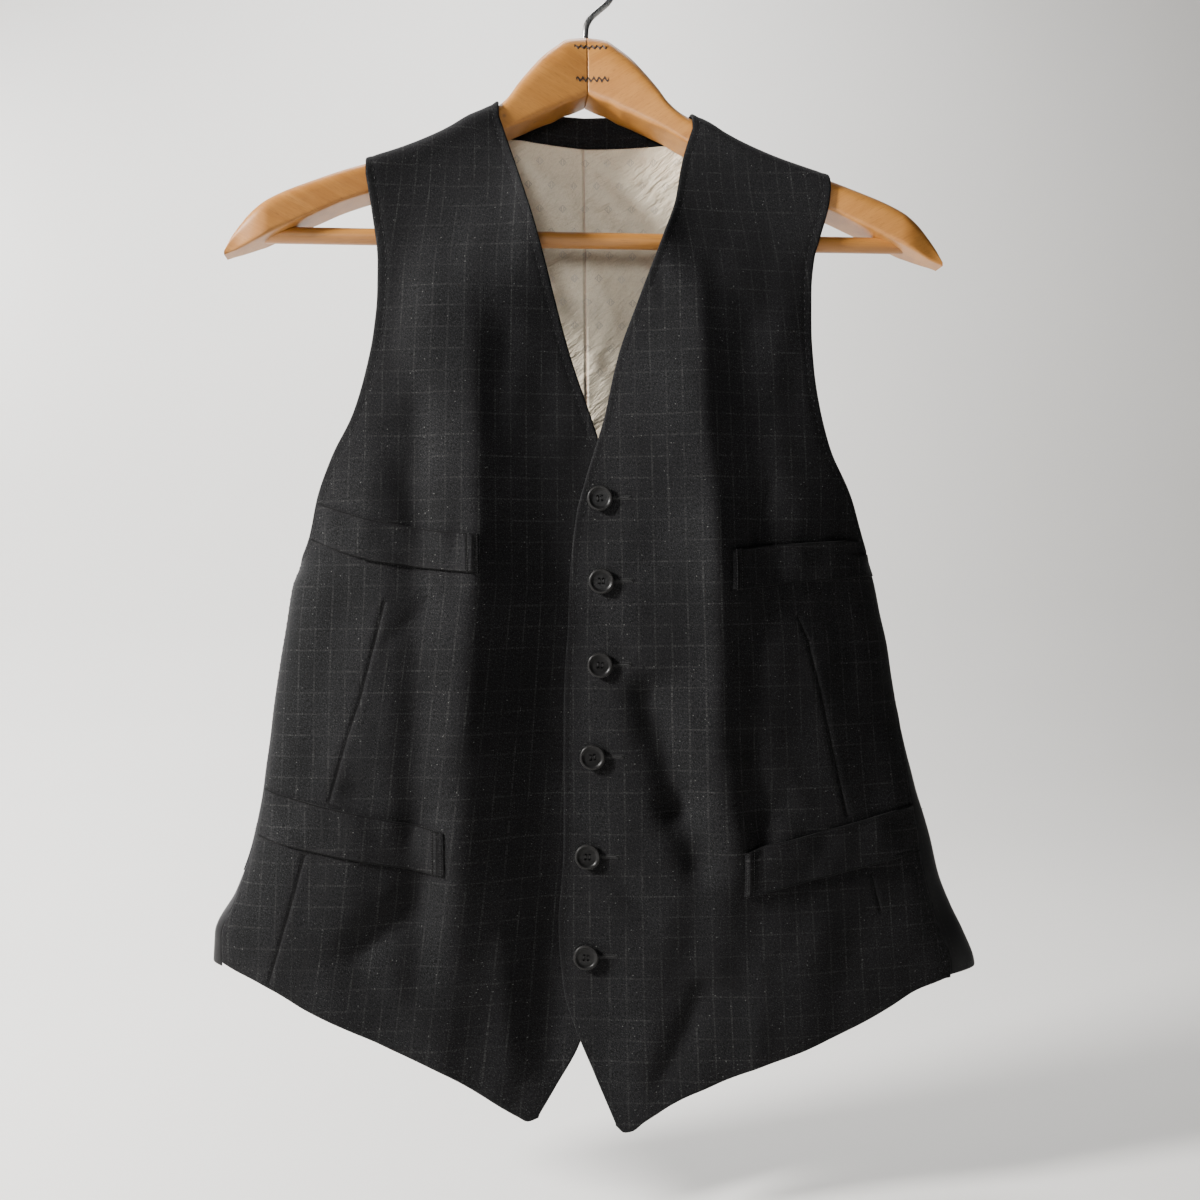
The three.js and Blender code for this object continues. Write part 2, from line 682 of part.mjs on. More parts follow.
// Rimmed button with four holes, its back on the plane z = 0
function buttonGeometry() {
  const radius = BUTTON.diameter / 2;
  const well = BUTTON.height - 0.9;
  const profile = [
    [0, 0],
    [radius - 1.6, 0],
    [radius, 1.2],
    [radius - 0.3, BUTTON.height - 0.3],
    [radius - BUTTON.rim, BUTTON.height],
    [radius - BUTTON.rim - 1.2, well],
    [0, well],
  ];
  const lathe = new THREE.LatheGeometry(profile.map(([r, h]) => new THREE.Vector2(r, h)), 14);
  lathe.rotateX(Math.PI / 2);
  let solid = toSolid(lathe);
  for (const [sx, sy] of [[1, 1], [1, -1], [-1, 1], [-1, -1]]) {
    const hole = new THREE.CylinderGeometry(BUTTON.hole / 2, BUTTON.hole / 2, 8, 5);
    hole.rotateX(Math.PI / 2);
    hole.translate(sx * BUTTON.spread / 2 * 1.3, sy * BUTTON.spread / 2 * 1.3, 1);
    solid = solid.subtract(toSolid(hole));
  }
  return fromSolid(solid);
}

function addButtons() {
  const shape = buttonGeometry();
  BUTTONS.forEach(({ x, z }, i) => {
    const { point, normal } = frontAt(x, z);
    const out = overLift(0, z) + FRONT_CLOTH / 2 + BUTTON.stand;
    const button = addPiece(`button_${i + 1}`, shape, HORN);
    button.position.copy(point).addScaledVector(normal, out);
    button.quaternion.setFromUnitVectors(new THREE.Vector3(0, 0, 1), normal);
  });
}

// Ribbon on the back along the waist, through the given x places, moved out by raise(x)
function strapGeometry(places, raise) {
  const grid = places.map((x) => {
    const wide = smooth((Math.abs(x) - STRAP.taper) / (200 - STRAP.taper));
    const half = lerp(STRAP.width, STRAP.seamWidth, wide) / 2;
    return [-half, 0, half].map((up) => wall(BACK, turnAt(x, STRAP.z), STRAP.z + up));
  });
  return wallGeometry(grid, BACK, STRAP_CLOTH, (j) => raise(places[j]));
}

// Places from one x to another in equal steps, without the last one
function places(from, to, steps) {
  return Array.from({ length: steps }, (none, k) => lerp(from, to, k / steps));
}

// Cinch: the left strap runs under the buckle. The right strap lies on it, goes under the frame's
// sides and over its middle bar, and ends in a free tail.
function addCinch() {
  const first = (BACK_CLOTH + STRAP_CLOTH) / 2 + STRAP.gap;
  const second = first + STRAP_CLOTH + LAY_GAP;
  const seamX = (side) => wall(BACK, side * STRAP.turn * DEGREE, STRAP.z).x;
  const climb = (x) => smooth((STRAP.under + 14 - x) / 12);
  const over = (x) => BUCKLE.lift * Math.exp(-(((x - BUCKLE.x) / BUCKLE.bend) ** 2));
  const leftPlaces = [...places(seamX(LEFT), -150, 10), ...places(-150, STRAP.under, 9), STRAP.under];
  const rightPlaces = [...places(seamX(RIGHT), 150, 10), ...places(150, 24, 8), ...places(24, -14, 19)];
  rightPlaces.push(-22, -31, STRAP.tail);
  addPiece('back_strap_left', strapGeometry(leftPlaces, () => first), SATIN);
  const upperRaise = (x) => lerp(first, second, climb(x)) + over(x);
  addPiece('back_strap_right', strapGeometry(rightPlaces, upperRaise), SATIN);

  const { length, width, bar, thick } = BUCKLE;
  let plate = toSolid(new THREE.BoxGeometry(length, thick, width));
  const window = new THREE.BoxGeometry(length / 2 - 1.5 * bar, 3 * thick, width - 2 * bar);
  for (const side of [-1, 1]) {
    const opening = window.clone().translate((side * (length / 2 - bar / 2)) / 2, 0, 0);
    plate = plate.subtract(toSolid(opening));
  }
  const buckle = addPiece('back_buckle', fromSolid(plate), STEEL);
  const middle = wall(BACK, turnAt(BUCKLE.x, STRAP.z), STRAP.z);
  const out = second + STRAP_CLOTH / 2 + 0.45 + thick / 2;
  buckle.position.set(middle.x, middle.y + out, middle.z);
}

// One arm of the hanger: a rounded section, flatter below, swept forward to a rounded tip
function armGeometry(side) {
  const stations = [0.15, 8, 14, 20, 28, 36, 44, 50, 57, 65, 80, 95, 110, 130, 150, 168]
    .concat([184, 196, 204, 211, 216, 219.5]);
  const rings = stations.map((x) => {
    const half = hangerHeight(x) / 2;
    const middle = hangerTop(x) - half;
    const round = smooth((x - 193) / 26.5);
    const depth = lerp(HANGER_DEPTH, HANGER_TIP_DEPTH, round) / 2;
    const ring = [];
    for (let k = 0; k < 14; k += 1) {
      const angle = (k / 14) * 2 * Math.PI;
      const [s, c] = [Math.sin(angle), Math.cos(angle)];
      const bend = s >= -1e-9 ? HANGER_TOP_POWER : HANGER_BASE_POWER;
      const y = armY(x) + depth * power(c, 2 / bend);
      ring.push(new THREE.Vector3(side * x, y, middle + half * power(s, 2 / bend)));
    }
    return ring;
  });
  return loft(rings);
}

function addHanger() {
  const socket = new THREE.CylinderGeometry(BAR.diameter / 2 + 0.3, BAR.diameter / 2 + 0.3, 120, 16);
  socket.rotateZ(Math.PI / 2);
  const stem = new THREE.CylinderGeometry(HOOK.wire / 2 + 0.35, HOOK.wire / 2 + 0.35, 60, 12);
  stem.rotateX(Math.PI / 2);
  stem.translate(0, 0, HOOK.foot - 1 + 30);
  for (const [name, side] of [['hanger_left', LEFT], ['hanger_right', RIGHT]]) {
    const hole = socket.clone();
    hole.translate(side * (BAR.reach + 0.5 - 60), BAR.y, BAR.z);
    const arm = toSolid(armGeometry(side)).subtract(toSolid(hole)).subtract(toSolid(stem));
    addPiece(name, fromSolid(arm), WOOD);
  }
  const dowel = new THREE.CylinderGeometry(BAR.diameter / 2, BAR.diameter / 2, 2 * BAR.reach, 16);
  const bar = addPiece('hanger_bar', dowel, WOOD);
  bar.rotation.z = Math.PI / 2;
  bar.position.set(0, BAR.y, BAR.z);
}

// Hook: a round bend over the seat, then an easy turn back into the upright stem
function addHook() {
  const { radius, wire, foot } = HOOK;
  const centre = wire / 2 - radius;
  const points = [];
  for (let angle = 205; angle >= -45; angle -= 25) {
    const [c, s] = [Math.cos(angle * DEGREE), Math.sin(angle * DEGREE)];
    points.push(new THREE.Vector3(radius * c, 0, centre + radius * s));
  }
  points.push(new THREE.Vector3(3.5, 0, centre - radius - 3));
  for (const drop of [11, 18, 26]) points.push(new THREE.Vector3(0, 0, centre - radius - drop));
  points.push(new THREE.Vector3(0, 0, foot));
  const path = new THREE.CatmullRomCurve3(points, false, 'centripetal');
  const section = new THREE.Shape();
  section.absarc(0, 0, wire / 2, 0, 2 * Math.PI, false);
  const options = { steps: 32, curveSegments: 4, bevelEnabled: false, extrudePath: path };
  addPiece('hanger_hook', new THREE.ExtrudeGeometry(section, options), STEEL);
}

addFront('front_left', LEFT);
addFront('front_right', RIGHT);
addBack('back_left', LEFT);
addBack('back_right', RIGHT);
addLining();
addNeckBand();
WELTS.forEach(addWelt);
addButtons();
addCinch();
addHanger();
addHook();

export default waistcoat;
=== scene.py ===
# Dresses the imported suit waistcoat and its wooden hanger: cloth, stitches, buttons, wood and steel.
import math

import bmesh
import bpy
import numpy as np
from bpy.props import FloatProperty, FloatVectorProperty, PointerProperty
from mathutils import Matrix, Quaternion, Vector


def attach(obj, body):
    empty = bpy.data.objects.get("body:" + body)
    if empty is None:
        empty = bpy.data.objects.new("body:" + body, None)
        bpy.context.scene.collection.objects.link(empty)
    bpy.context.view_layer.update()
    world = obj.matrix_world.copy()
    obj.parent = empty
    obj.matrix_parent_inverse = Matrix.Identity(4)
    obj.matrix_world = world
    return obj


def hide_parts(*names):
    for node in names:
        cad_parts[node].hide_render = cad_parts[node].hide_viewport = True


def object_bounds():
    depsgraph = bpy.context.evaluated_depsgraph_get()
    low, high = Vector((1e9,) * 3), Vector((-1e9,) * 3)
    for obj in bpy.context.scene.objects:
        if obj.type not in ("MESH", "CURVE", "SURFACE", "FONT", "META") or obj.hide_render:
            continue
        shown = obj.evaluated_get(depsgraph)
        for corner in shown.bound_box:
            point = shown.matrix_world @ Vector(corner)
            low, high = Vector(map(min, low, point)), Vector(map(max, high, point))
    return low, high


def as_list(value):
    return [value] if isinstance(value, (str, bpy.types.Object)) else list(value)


bl_info = {
    "name": "Suit waistcoat on a hanger",
    "version": (1, 0, 0),
    "blender": (4, 5, 0),
    "location": "3D View > Sidebar > Waistcoat",
    "description": "Dresses the packed waistcoat: cloth, stitches, buttons, hanger and stage",
    "category": "Object",
}

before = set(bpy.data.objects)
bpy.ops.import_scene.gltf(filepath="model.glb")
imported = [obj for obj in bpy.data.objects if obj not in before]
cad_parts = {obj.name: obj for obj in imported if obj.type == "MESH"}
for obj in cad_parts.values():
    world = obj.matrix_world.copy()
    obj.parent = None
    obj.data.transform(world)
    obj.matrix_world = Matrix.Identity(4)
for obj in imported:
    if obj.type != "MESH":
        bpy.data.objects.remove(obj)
CAD_BOX = [list(corner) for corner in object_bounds()]

MM = 0.001
FRONT, BACK = -1, 1
LEFT, RIGHT = -1, 1

# Sizes shared with the solids, in millimetres
FRONT_CLOTH = 2.0
BACK_CLOTH = 1.2
LINING_CLOTH = 1.0
BAND_CLOTH = 2.0
WELT_CLOTH = 1.8
STRAP_CLOTH = 1.4
SEAM_GAP = 0.35
SEAM_TOUCH = 0.05
LAY_GAP = 0.5
OVAL_POWER = 2.5

# Sizes that only this scene has, in millimetres
EDGE_ROWS = (0.35, 0.9, 1.8)
PICK_INSET, HEM_INSET, BACK_INSET = 5, 6, 4
WELT_STRIP, WELT_GROOVES = 4.5, (3.0, 5.7)
HOLE_START, HOLE_HALF, SLIT_SHADE_RADIUS = 1.5, 0.95, 0.5
NO_SEAM = 30.0

# Turn from the side seam over which both faces share their folds, and the seeds of the small waves
SEAM_BLEND = 0.3
WALL_RIPPLES, LINING_RIPPLES = 3, 8

SECTIONS = (
    ("z", "left", "right", "side", "front", "back"),
    (-150, -182, 182, -10, 41, 27),
    (-300, -181, 179, -8, 44, 30),
    (-383, -179, 176, -8, 44, 32),
    (-400, -184.5, 180, -8, 44, 32),
    (-432, -189.5, 186.5, -8, 43, 32),
    (-490, -199, 196, -8, 41, 31),
    (-530, -205, 206, -8, 40, 31),
    (-560, -211.5, 215.5, -8, 39, 31),
    (-585, -221, 220, -8, 38, 31),
    (-610, -234.5, 229, -7, 37, 31),
    (-648, -236, 246, -6, 36, 31),
    (-740, -236, 250, -6, 35, 31),
)
OVER_EDGE = (
    ("z", "x"),
    (-104, 68.5), (-138, 57), (-166, 50.5), (-190, 41), (-227, 26.6), (-263, 13.6),
    (-301, 4.6), (-336, -6.8), (-358, -12.8), (-389, -16.2), (-424, -18.3), (-470, -21.2),
    (-566, -22.6), (-611, -25.2), (-647, -22.5), (-680, -13), (-701, -4.4), (-731, 8.1),
)
UNDER_EDGE = (
    ("z", "x"),
    (-103, -59), (-130, -50.3), (-174, -38.9), (-201, -32), (-265, -14.5), (-293, -5.1),
    (-313, 1.4), (-340, 9), (-365, 12.5), (-400, 13.5), (-450, 11.5), (-505, 8),
    (-566, 4.5), (-628, 0), (-655, -5), (-681, -12.8), (-691, -17.8), (-705, -27.1),
    (-724, -40.3),
)
ARMHOLE_LEFT = (
    ("z", "x"),
    (-145, -138), (-178, -133), (-206, -130), (-226, -130.3), (-250, -132.8), (-274, -138),
    (-298, -145.8), (-322, -158.3), (-346, -167.6), (-371, -173.5), (-383, -178.5),
)
ARMHOLE_RIGHT = (
    ("z", "x"),
    (-150, 149.5), (-166, 147.5), (-187, 141.5), (-200, 137.5), (-223, 134.5), (-247, 133.7),
    (-272, 135.6), (-297, 139.9), (-322, 147), (-347, 159.8), (-373, 169.4), (-384, 175.5),
)
UNDERARM_Z = -384
BACK_ARMHOLE_INSET = 5
SIDE_SEAM = (
    ("z", "left", "right"),
    (-384, 90, 90), (-470, 90, 90), (-500, 90, 79), (-541, 89, 70), (-570, 85, 67),
    (-603, 76, 66), (-626, 75, 64), (-655, 74, 61.5),
)
HEM_LEFT = (
    ("x", "z"),
    (-235, -623), (-219, -631), (-200, -639.5), (-178, -653), (-130, -677), (-98, -693),
    (-74, -708.5), (-52, -723), (-46, -726), (-40, -724.5),
)
HEM_RIGHT = (
    ("x", "z"),
    (8, -731.5), (13, -735.5), (18, -734.5), (25, -729), (47, -716), (95, -697.5),
    (126, -688), (160, -676), (180, -667), (199, -657.5), (219, -652),
)
HEM_BACK = (("x", "z"), (-236, -627), (-200, -633), (0, -642), (200, -651), (248, -649))

# Largest folds, as the solids have them: each a ridge or trough along a line
FOLDS = (
    ("face", "x1", "z1", "x2", "z2", "half", "rise", "ends"),
    (FRONT, -8, -260, -10, -705, 46, -13, 90),
    (FRONT, 60, -240, 71, -390, 20, 4.5, 50),
    (FRONT, 71, -390, 76, -560, 20, 4, 60),
    (FRONT, -90, -240, -70, -385, 24, 3.5, 50),
    (FRONT, -74, -420, -88, -590, 26, 3, 60),
    (FRONT, 32, -470, 62, -566, 13, -3, 22),
    (FRONT, -108, -592, -150, -620, 13, -3, 22),
    (FRONT, -150, -520, -102, -536, 13, -2.5, 20),
    (FRONT, 96, -545, 112, -536, 13, -2.5, 14),
    (FRONT, 64, -655, 44, -700, 15, -3, 26),
    (FRONT, 128, -620, 112, -690, 20, 3, 30),
    (FRONT, -116, -630, -96, -690, 18, 2.5, 30),
    (FRONT, 150, -420, 168, -520, 15, -2.5, 40),
    (FRONT, -150, -410, -172, -510, 15, -2.5, 40),
    (BACK, 0, -200, 0, -470, 34, -5, 80),
    (BACK, -74, -200, -70, -380, 22, 3.5, 60),
    (BACK, 72, -210, 66, -370, 22, 3.5, 60),
    (BACK, -95, -580, -120, -650, 20, 4, 30),
    (BACK, 92, -585, 124, -650, 20, 4, 30),
    (BACK, 0, -608, 4, -650, 26, 4.5, 28),
    (BACK, 190, -590, 206, -650, 18, 4, 26),
)

# Finer creases that only the cloth here has
CREASES = (
    ("face", "x1", "z1", "x2", "z2", "half", "rise", "ends"),
    (FRONT, 62, -235, 69, -385, 8, 1.7, 40),
    (FRONT, 69, -385, 70, -480, 8, 1.7, 60),
    (FRONT, 92, -260, 96, -470, 13, -1.6, 50),
    (FRONT, 30, -470, 47, -538, 13, -4.6, 20),
    (FRONT, 47, -538, 60, -572, 13, -4.0, 18),
    (FRONT, 60, -575, 56, -620, 9, -1.1, 24),
    (FRONT, 90, -500, 99, -556, 10, -3.4, 20),
    (FRONT, 60, -655, 38, -700, 8, -1.8, 24),
    (FRONT, 12, -580, 28, -602, 7, -1.2, 12),
    (FRONT, 38, -212, 42, -226, 5, -0.8, 8),
    (FRONT, 96, -372, 106, -345, 5, -1.4, 12),
    (FRONT, 118, -270, 124, -330, 10, -1.0, 30),
    (FRONT, 4, -420, 16, -440, 6, -0.9, 10),
    (FRONT, -36, -400, -38, -650, 27, -7, 70),
    (FRONT, -108, -310, -112, -620, 13, -4.8, 50),
    (FRONT, -78, -610, -84, -720, 32, -4.5, 40),
    (FRONT, -124, -560, -130, -690, 24, -4, 30),
    (FRONT, -72, -262, -73, -385, 8, 1.7, 30),
    (FRONT, -73, -385, -80, -480, 9, 1.6, 30),
    (FRONT, -80, -480, -91, -600, 10, 1.3, 40),
    (FRONT, -103, -575, -144, -615, 10, -2.6, 18),
    (FRONT, -102, -410, -127, -434, 6, -1.1, 10),
    (FRONT, -146, -524, -110, -541, 8, -1.7, 14),
    (FRONT, -110, -190, -120, -250, 12, -1.7, 26),
    (FRONT, -128, -316, -106, -362, 10, -1.3, 20),
    (FRONT, -54, -250, -62, -300, 8, -1.0, 20),
    (FRONT, -30, -600, -34, -690, 11, -1.6, 30),
    (FRONT, -60, -620, -56, -690, 8, 1.2, 24),
    (FRONT, 96, -640, 92, -690, 8, 1.0, 20),
    (BACK, -20, -548, -96, -492, 8, -1.6, 20),
    (BACK, 20, -548, 104, -500, 8, -1.6, 20),
    (BACK, -16, -575, -110, -612, 8, -1.7, 20),
    (BACK, 18, -576, 96, -620, 8, -1.7, 20),
    (BACK, -30, -560, -150, -556, 7, -1.2, 30),
    (BACK, 34, -562, 150, -552, 7, -1.2, 30),
    (BACK, -118, -300, -96, -420, 12, -1.6, 40),
    (BACK, 120, -290, 92, -410, 12, -1.6, 40),
    (BACK, -46, -230, -30, -330, 9, 1.2, 30),
    (BACK, 50, -220, 34, -340, 9, 1.2, 30),
    (BACK, -150, -420, -120, -500, 9, -1.3, 24),
    (BACK, 152, -430, 118, -506, 9, -1.3, 24),
    (BACK, -60, -600, -70, -640, 8, 1.4, 16),
    (BACK, 56, -600, 62, -645, 8, 1.4, 16),
)
LINING_CREASES = (
    ("face", "x1", "z1", "x2", "z2", "half", "rise", "ends"),
    (BACK, 6, -122, 50, -156, 3.5, 0.7, 10),
    (BACK, 14, -120, 54, -142, 3, 0.55, 8),
    (BACK, 8, -140, 46, -176, 4, 0.7, 10),
    (BACK, 4, -158, 40, -196, 4, 0.6, 10),
    (BACK, -12, -150, 18, -230, 4, 0.6, 14),
    (BACK, -46, -122, -20, -142, 3.5, 0.5, 10),
    (BACK, -40, -150, -14, -190, 4, 0.5, 10),
    (BACK, -24, -205, 8, -262, 4, 0.6, 16),
    (BACK, 20, -214, -4, -280, 4, 0.6, 14),
    (BACK, -90, -300, -30, -420, 9, 0.9, 40),
    (BACK, 84, -310, 26, -430, 9, 0.9, 40),
    (BACK, -40, -480, 40, -520, 8, 0.9, 40),
    (BACK, 60, -560, -20, -600, 8, 0.9, 30),
)

# Dart and pocket-end lines of the fronts, from the top down
DARTS = {
    LEFT: (
        ((-127.6, -409), (-133.4, -431.6), (-142.6, -466.5), (-150.8, -490),
         (-162.6, -529.4)),
        ((-176.9, -559), (-184.7, -587.4), (-199.8, -637.5)),
    ),
    RIGHT: (
        ((121.2, -420.6), (128, -435.4), (133, -455), (139, -480),
         (145.9, -513), (152.9, -545)),
        ((168.3, -582), (175.3, -607)),
    ),
}

HANGER = (
    ("x", "top", "height"),
    (0, -53.8, 39.2), (12, -55.8, 42.7), (20, -61.2, 41.8), (28, -67.9, 38.6),
    (36, -76.9, 33.6), (44, -87, 27.5), (50, -95.8, 21.7), (57, -102.7, 19.3),
    (63, -106.6, 18.9), (75, -112.8, 20.2), (85, -119.6, 20.2), (95, -125.4, 20.2),
    (115, -135, 20.2), (135, -142.8, 20.4), (150, -148.2, 21), (167, -155.2, 22.5),
    (184, -162.8, 23.5), (196, -169.8, 22.8), (204, -176.6, 20), (211, -185, 15),
    (216, -192.5, 9.5), (219.5, -200, 3.5),
)
HANGER_DEPTH, HANGER_TIP_DEPTH, HANGER_SWEEP = 27, 13, 0.14
HANGER_TOP_POWER, HANGER_BASE_POWER = 2.8, 13
BAR_DIAMETER, BAR_Z, BAR_REACH, BAR_Y = 10, -188.6, 197, -26.6
HOOK_WIRE, HOOK_RADIUS, HOOK_FOOT = 4, 19, -76
ARM_TIP = 219.5
ARM_HALF_HEIGHT = 9
WRAP = {"front": 15.2, "back": 17.6, "rise": 2.2, "power": 2.8, "seam": 5}
SHOULDER_BLEND = 115
NECK = {"top": -97.5, "base": -110, "inner": 46, "outer": 60}
BAND = {"half": 41, "bottom": -114.6}
LINING = {"top": -115.2, "hem": 18, "inset": 14, "turn": 86, "gap": 1.8}
NECK_SAG = {"x": 14, "depth": 3.2, "wide": 31}
OVERLAP = {"full": 36, "gone": 75, "top": -240, "rise": 70}
BUTTON_DIAMETER, BUTTON_HEIGHT, BUTTON_STAND = 15.6, 3.0, 0.9
BUTTON_WELL, BUTTON_HOLE, BUTTON_HOLE_PLACE = 0.95, 0.85, 1.24
BUTTONS = ((2.0, -348.6), (2.9, -398.5), (1.5, -449.1), (-3.5, -505.1), (-6.9, -565.9),
           (-8.2, -627.5))
WELTS = (
    ("name", "side", "x", "inset", "gap", "sag", "top_in", "top_out", "low_in", "low_out"),
    ("welt_chest_left", LEFT, -72, 3, 0.6, 3.5, -370.4, -350, -393.4, -371.5),
    ("welt_chest_right", RIGHT, 77.8, 8, 1.6, -1, -380.8, -374.5, -405, -397),
    ("welt_hip_left", LEFT, -94, 10, 0.5, 0.5, -547.4, -521.5, -573.6, -550),
    ("welt_hip_right", RIGHT, 86, 1, 0.5, -1, -564.7, -541.5, -592, -570.8),
)
STRAP = {"z": -560, "turn": 86, "seam": 29, "width": 20, "taper": 100, "tail": -40,
         "under": 9, "gap": 0.8}
BUCKLE = {"x": 0, "length": 27, "width": 30, "bar": 3.2, "thick": 1.2, "lift": 3.8, "bend": 5}

# Cut size of each cloth piece, in metres: the flat cut's width, length and area, and what carries it
CUTS = {
    "front_left": (0.242, 0.667, 0.104, ["hanger_left"]),
    "front_right": (0.244, 0.670, 0.108, ["hanger_right"]),
    "back_left": (0.260, 0.552, 0.095, ["hanger_left"]),
    "back_right": (0.289, 0.563, 0.101, ["hanger_right"]),
    "back_lining": (0.461, 0.520, 0.161, ["back_left", "back_right"]),
    "back_neck_band": (0.083, 0.021, None, ["back_left", "back_right"]),
    "welt_chest_left": (0.107, 0.024, None, ["front_left"]),
    "welt_chest_right": (0.105, 0.026, None, ["front_right"]),
    "welt_hip_left": (0.118, 0.029, None, ["front_left"]),
    "welt_hip_right": (0.125, 0.030, None, ["front_right"]),
    "back_strap_left": (0.265, 0.027, 0.0054, ["back_left", "back_right"]),
    "back_strap_right": (0.300, 0.027, 0.0062, ["back_left", "back_right"]),
}


# Shapes of the body, as in the solids

def column(table, name):
    place = table[0].index(name)
    return np.array([row[place] for row in table[1:]], float)


def records(table):
    return [dict(zip(table[0], row)) for row in table[1:]]


def curve(table, by, name):
    """A smooth curve through a table's rows that never swings past them."""
    at, value = column(table, by), column(table, name)
    order = np.argsort(at)
    at, value = at[order], value[order]
    rate = np.diff(value) / np.diff(at)
    slope = np.zeros(len(at))
    slope[0], slope[-1] = rate[0], rate[-1]
    before, after = rate[:-1], rate[1:]
    same = before * after > 0
    slope[1:-1] = np.where(same, 2 * before * after / np.where(same, before + after, 1), 0)

    def read(place):
        place = np.clip(np.asarray(place, float), at[0], at[-1])
        i = np.clip(np.searchsorted(at, place, side="right") - 1, 0, len(at) - 2)
        width = at[i + 1] - at[i]
        t = (place - at[i]) / width
        pull = slope[i] * (t**3 - 2 * t**2 + t) + slope[i + 1] * (t**3 - t**2)
        return value[i] + (value[i + 1] - value[i]) * (3 * t**2 - 2 * t**3) + pull * width

    return read


body = {name: curve(SECTIONS, "z", name) for name in ("left", "right", "side", "front", "back")}
front_edge = {LEFT: curve(UNDER_EDGE, "z", "x"), RIGHT: curve(OVER_EDGE, "z", "x")}
armhole = {LEFT: curve(ARMHOLE_LEFT, "z", "x"), RIGHT: curve(ARMHOLE_RIGHT, "z", "x")}
side_seam = {LEFT: curve(SIDE_SEAM, "z", "left"), RIGHT: curve(SIDE_SEAM, "z", "right")}
hem = {LEFT: curve(HEM_LEFT, "x", "z"), RIGHT: curve(HEM_RIGHT, "x", "z")}
back_hem = curve(HEM_BACK, "x", "z")
hanger_top = curve(HANGER, "x", "top")
hanger_height = curve(HANGER, "x", "height")


def lerp(a, b, t):
    return a + (b - a) * t


def smooth(t):
    t = np.clip(t, 0, 1)
    return t * t * (3 - 2 * t)


def bell(away, half):
    """A soft hill that is 1 in its middle and fades past its half width."""
    return np.exp(-((away / half) ** 2))


def power(value, exponent):
    return np.sign(value) * np.abs(value) ** exponent


def run_along(points, axis=0):
    """Length from the first point to each one, along one axis of a grid of points."""
    steps = np.linalg.norm(np.diff(points, axis=axis), axis=-1)
    start = np.zeros_like(np.take(steps, [0], axis))
    return np.concatenate([start, np.cumsum(steps, axis)], axis)


def unit(vectors):
    return vectors / np.maximum(np.linalg.norm(vectors, axis=-1, keepdims=True), 1e-12)


def arm_top(x):
    return hanger_top(np.abs(x))


def arm_y(x):
    return -HANGER_SWEEP * np.abs(x)


def neck_sag(x):
    return np.maximum(0, NECK_SAG["depth"] - ((x - NECK_SAG["x"]) / NECK_SAG["wide"]) ** 2)


def turn_at(x, z):
    """Turn, in radians, at which the body's curve has this x."""
    middle = (body["left"](z) + body["right"](z)) / 2
    half = (body["right"](z) - body["left"](z)) / 2
    share = np.minimum(np.abs(x - middle) / half, 1)
    return np.sign(x - middle) * np.arcsin(share ** (OVAL_POWER / 2))


def fold_rise(table, face, x, z):
    """Height of all the ridges and troughs of a table at each place."""
    total = np.zeros(np.broadcast(x, z).shape)
    for fold in records(table):
        if fold["face"] != face:
            continue
        dx, dz = fold["x2"] - fold["x1"], fold["z2"] - fold["z1"]
        length = math.hypot(dx, dz)
        run = ((x - fold["x1"]) * dx + (z - fold["z1"]) * dz) / length
        off = ((x - fold["x1"]) * dz - (z - fold["z1"]) * dx) / length
        past = np.maximum(np.maximum(-run, run - length), 0)
        fade = 1 - smooth(past / fold["ends"])
        total += fold["rise"] * bell(off, fold["half"]) * fade
    return total


def ripple(x, z, seed):
    """Small uneven waves of hanging cloth, in millimetres."""
    total = np.zeros(np.broadcast(x, z).shape)
    spread = np.random.default_rng(seed)
    for size, rise in ((60, 0.5), (34, 0.28), (17, 0.10)):
        for _ in range(5):
            angle = spread.uniform(0, math.pi)
            phase, stretch = spread.uniform(0, 2 * math.pi, 2)
            wave = 2 * math.pi / (size * (0.8 + 0.08 * stretch))
            bend = 4 * np.sin(z / 37 + phase) + 5 * np.sin(x / 29 + stretch)
            run = (x + bend) * math.cos(angle) + z * math.sin(angle) * 0.6
            total += rise / 2.2 * np.sin(run * wave + phase)
    return total


def wrap_start(face, x):
    level = arm_top(x) - ARM_HALF_HEIGHT
    return level if face == FRONT else np.minimum(level, NECK["base"])


def wrap_reach(face):
    return WRAP["front"] if face == FRONT else WRAP["back"]


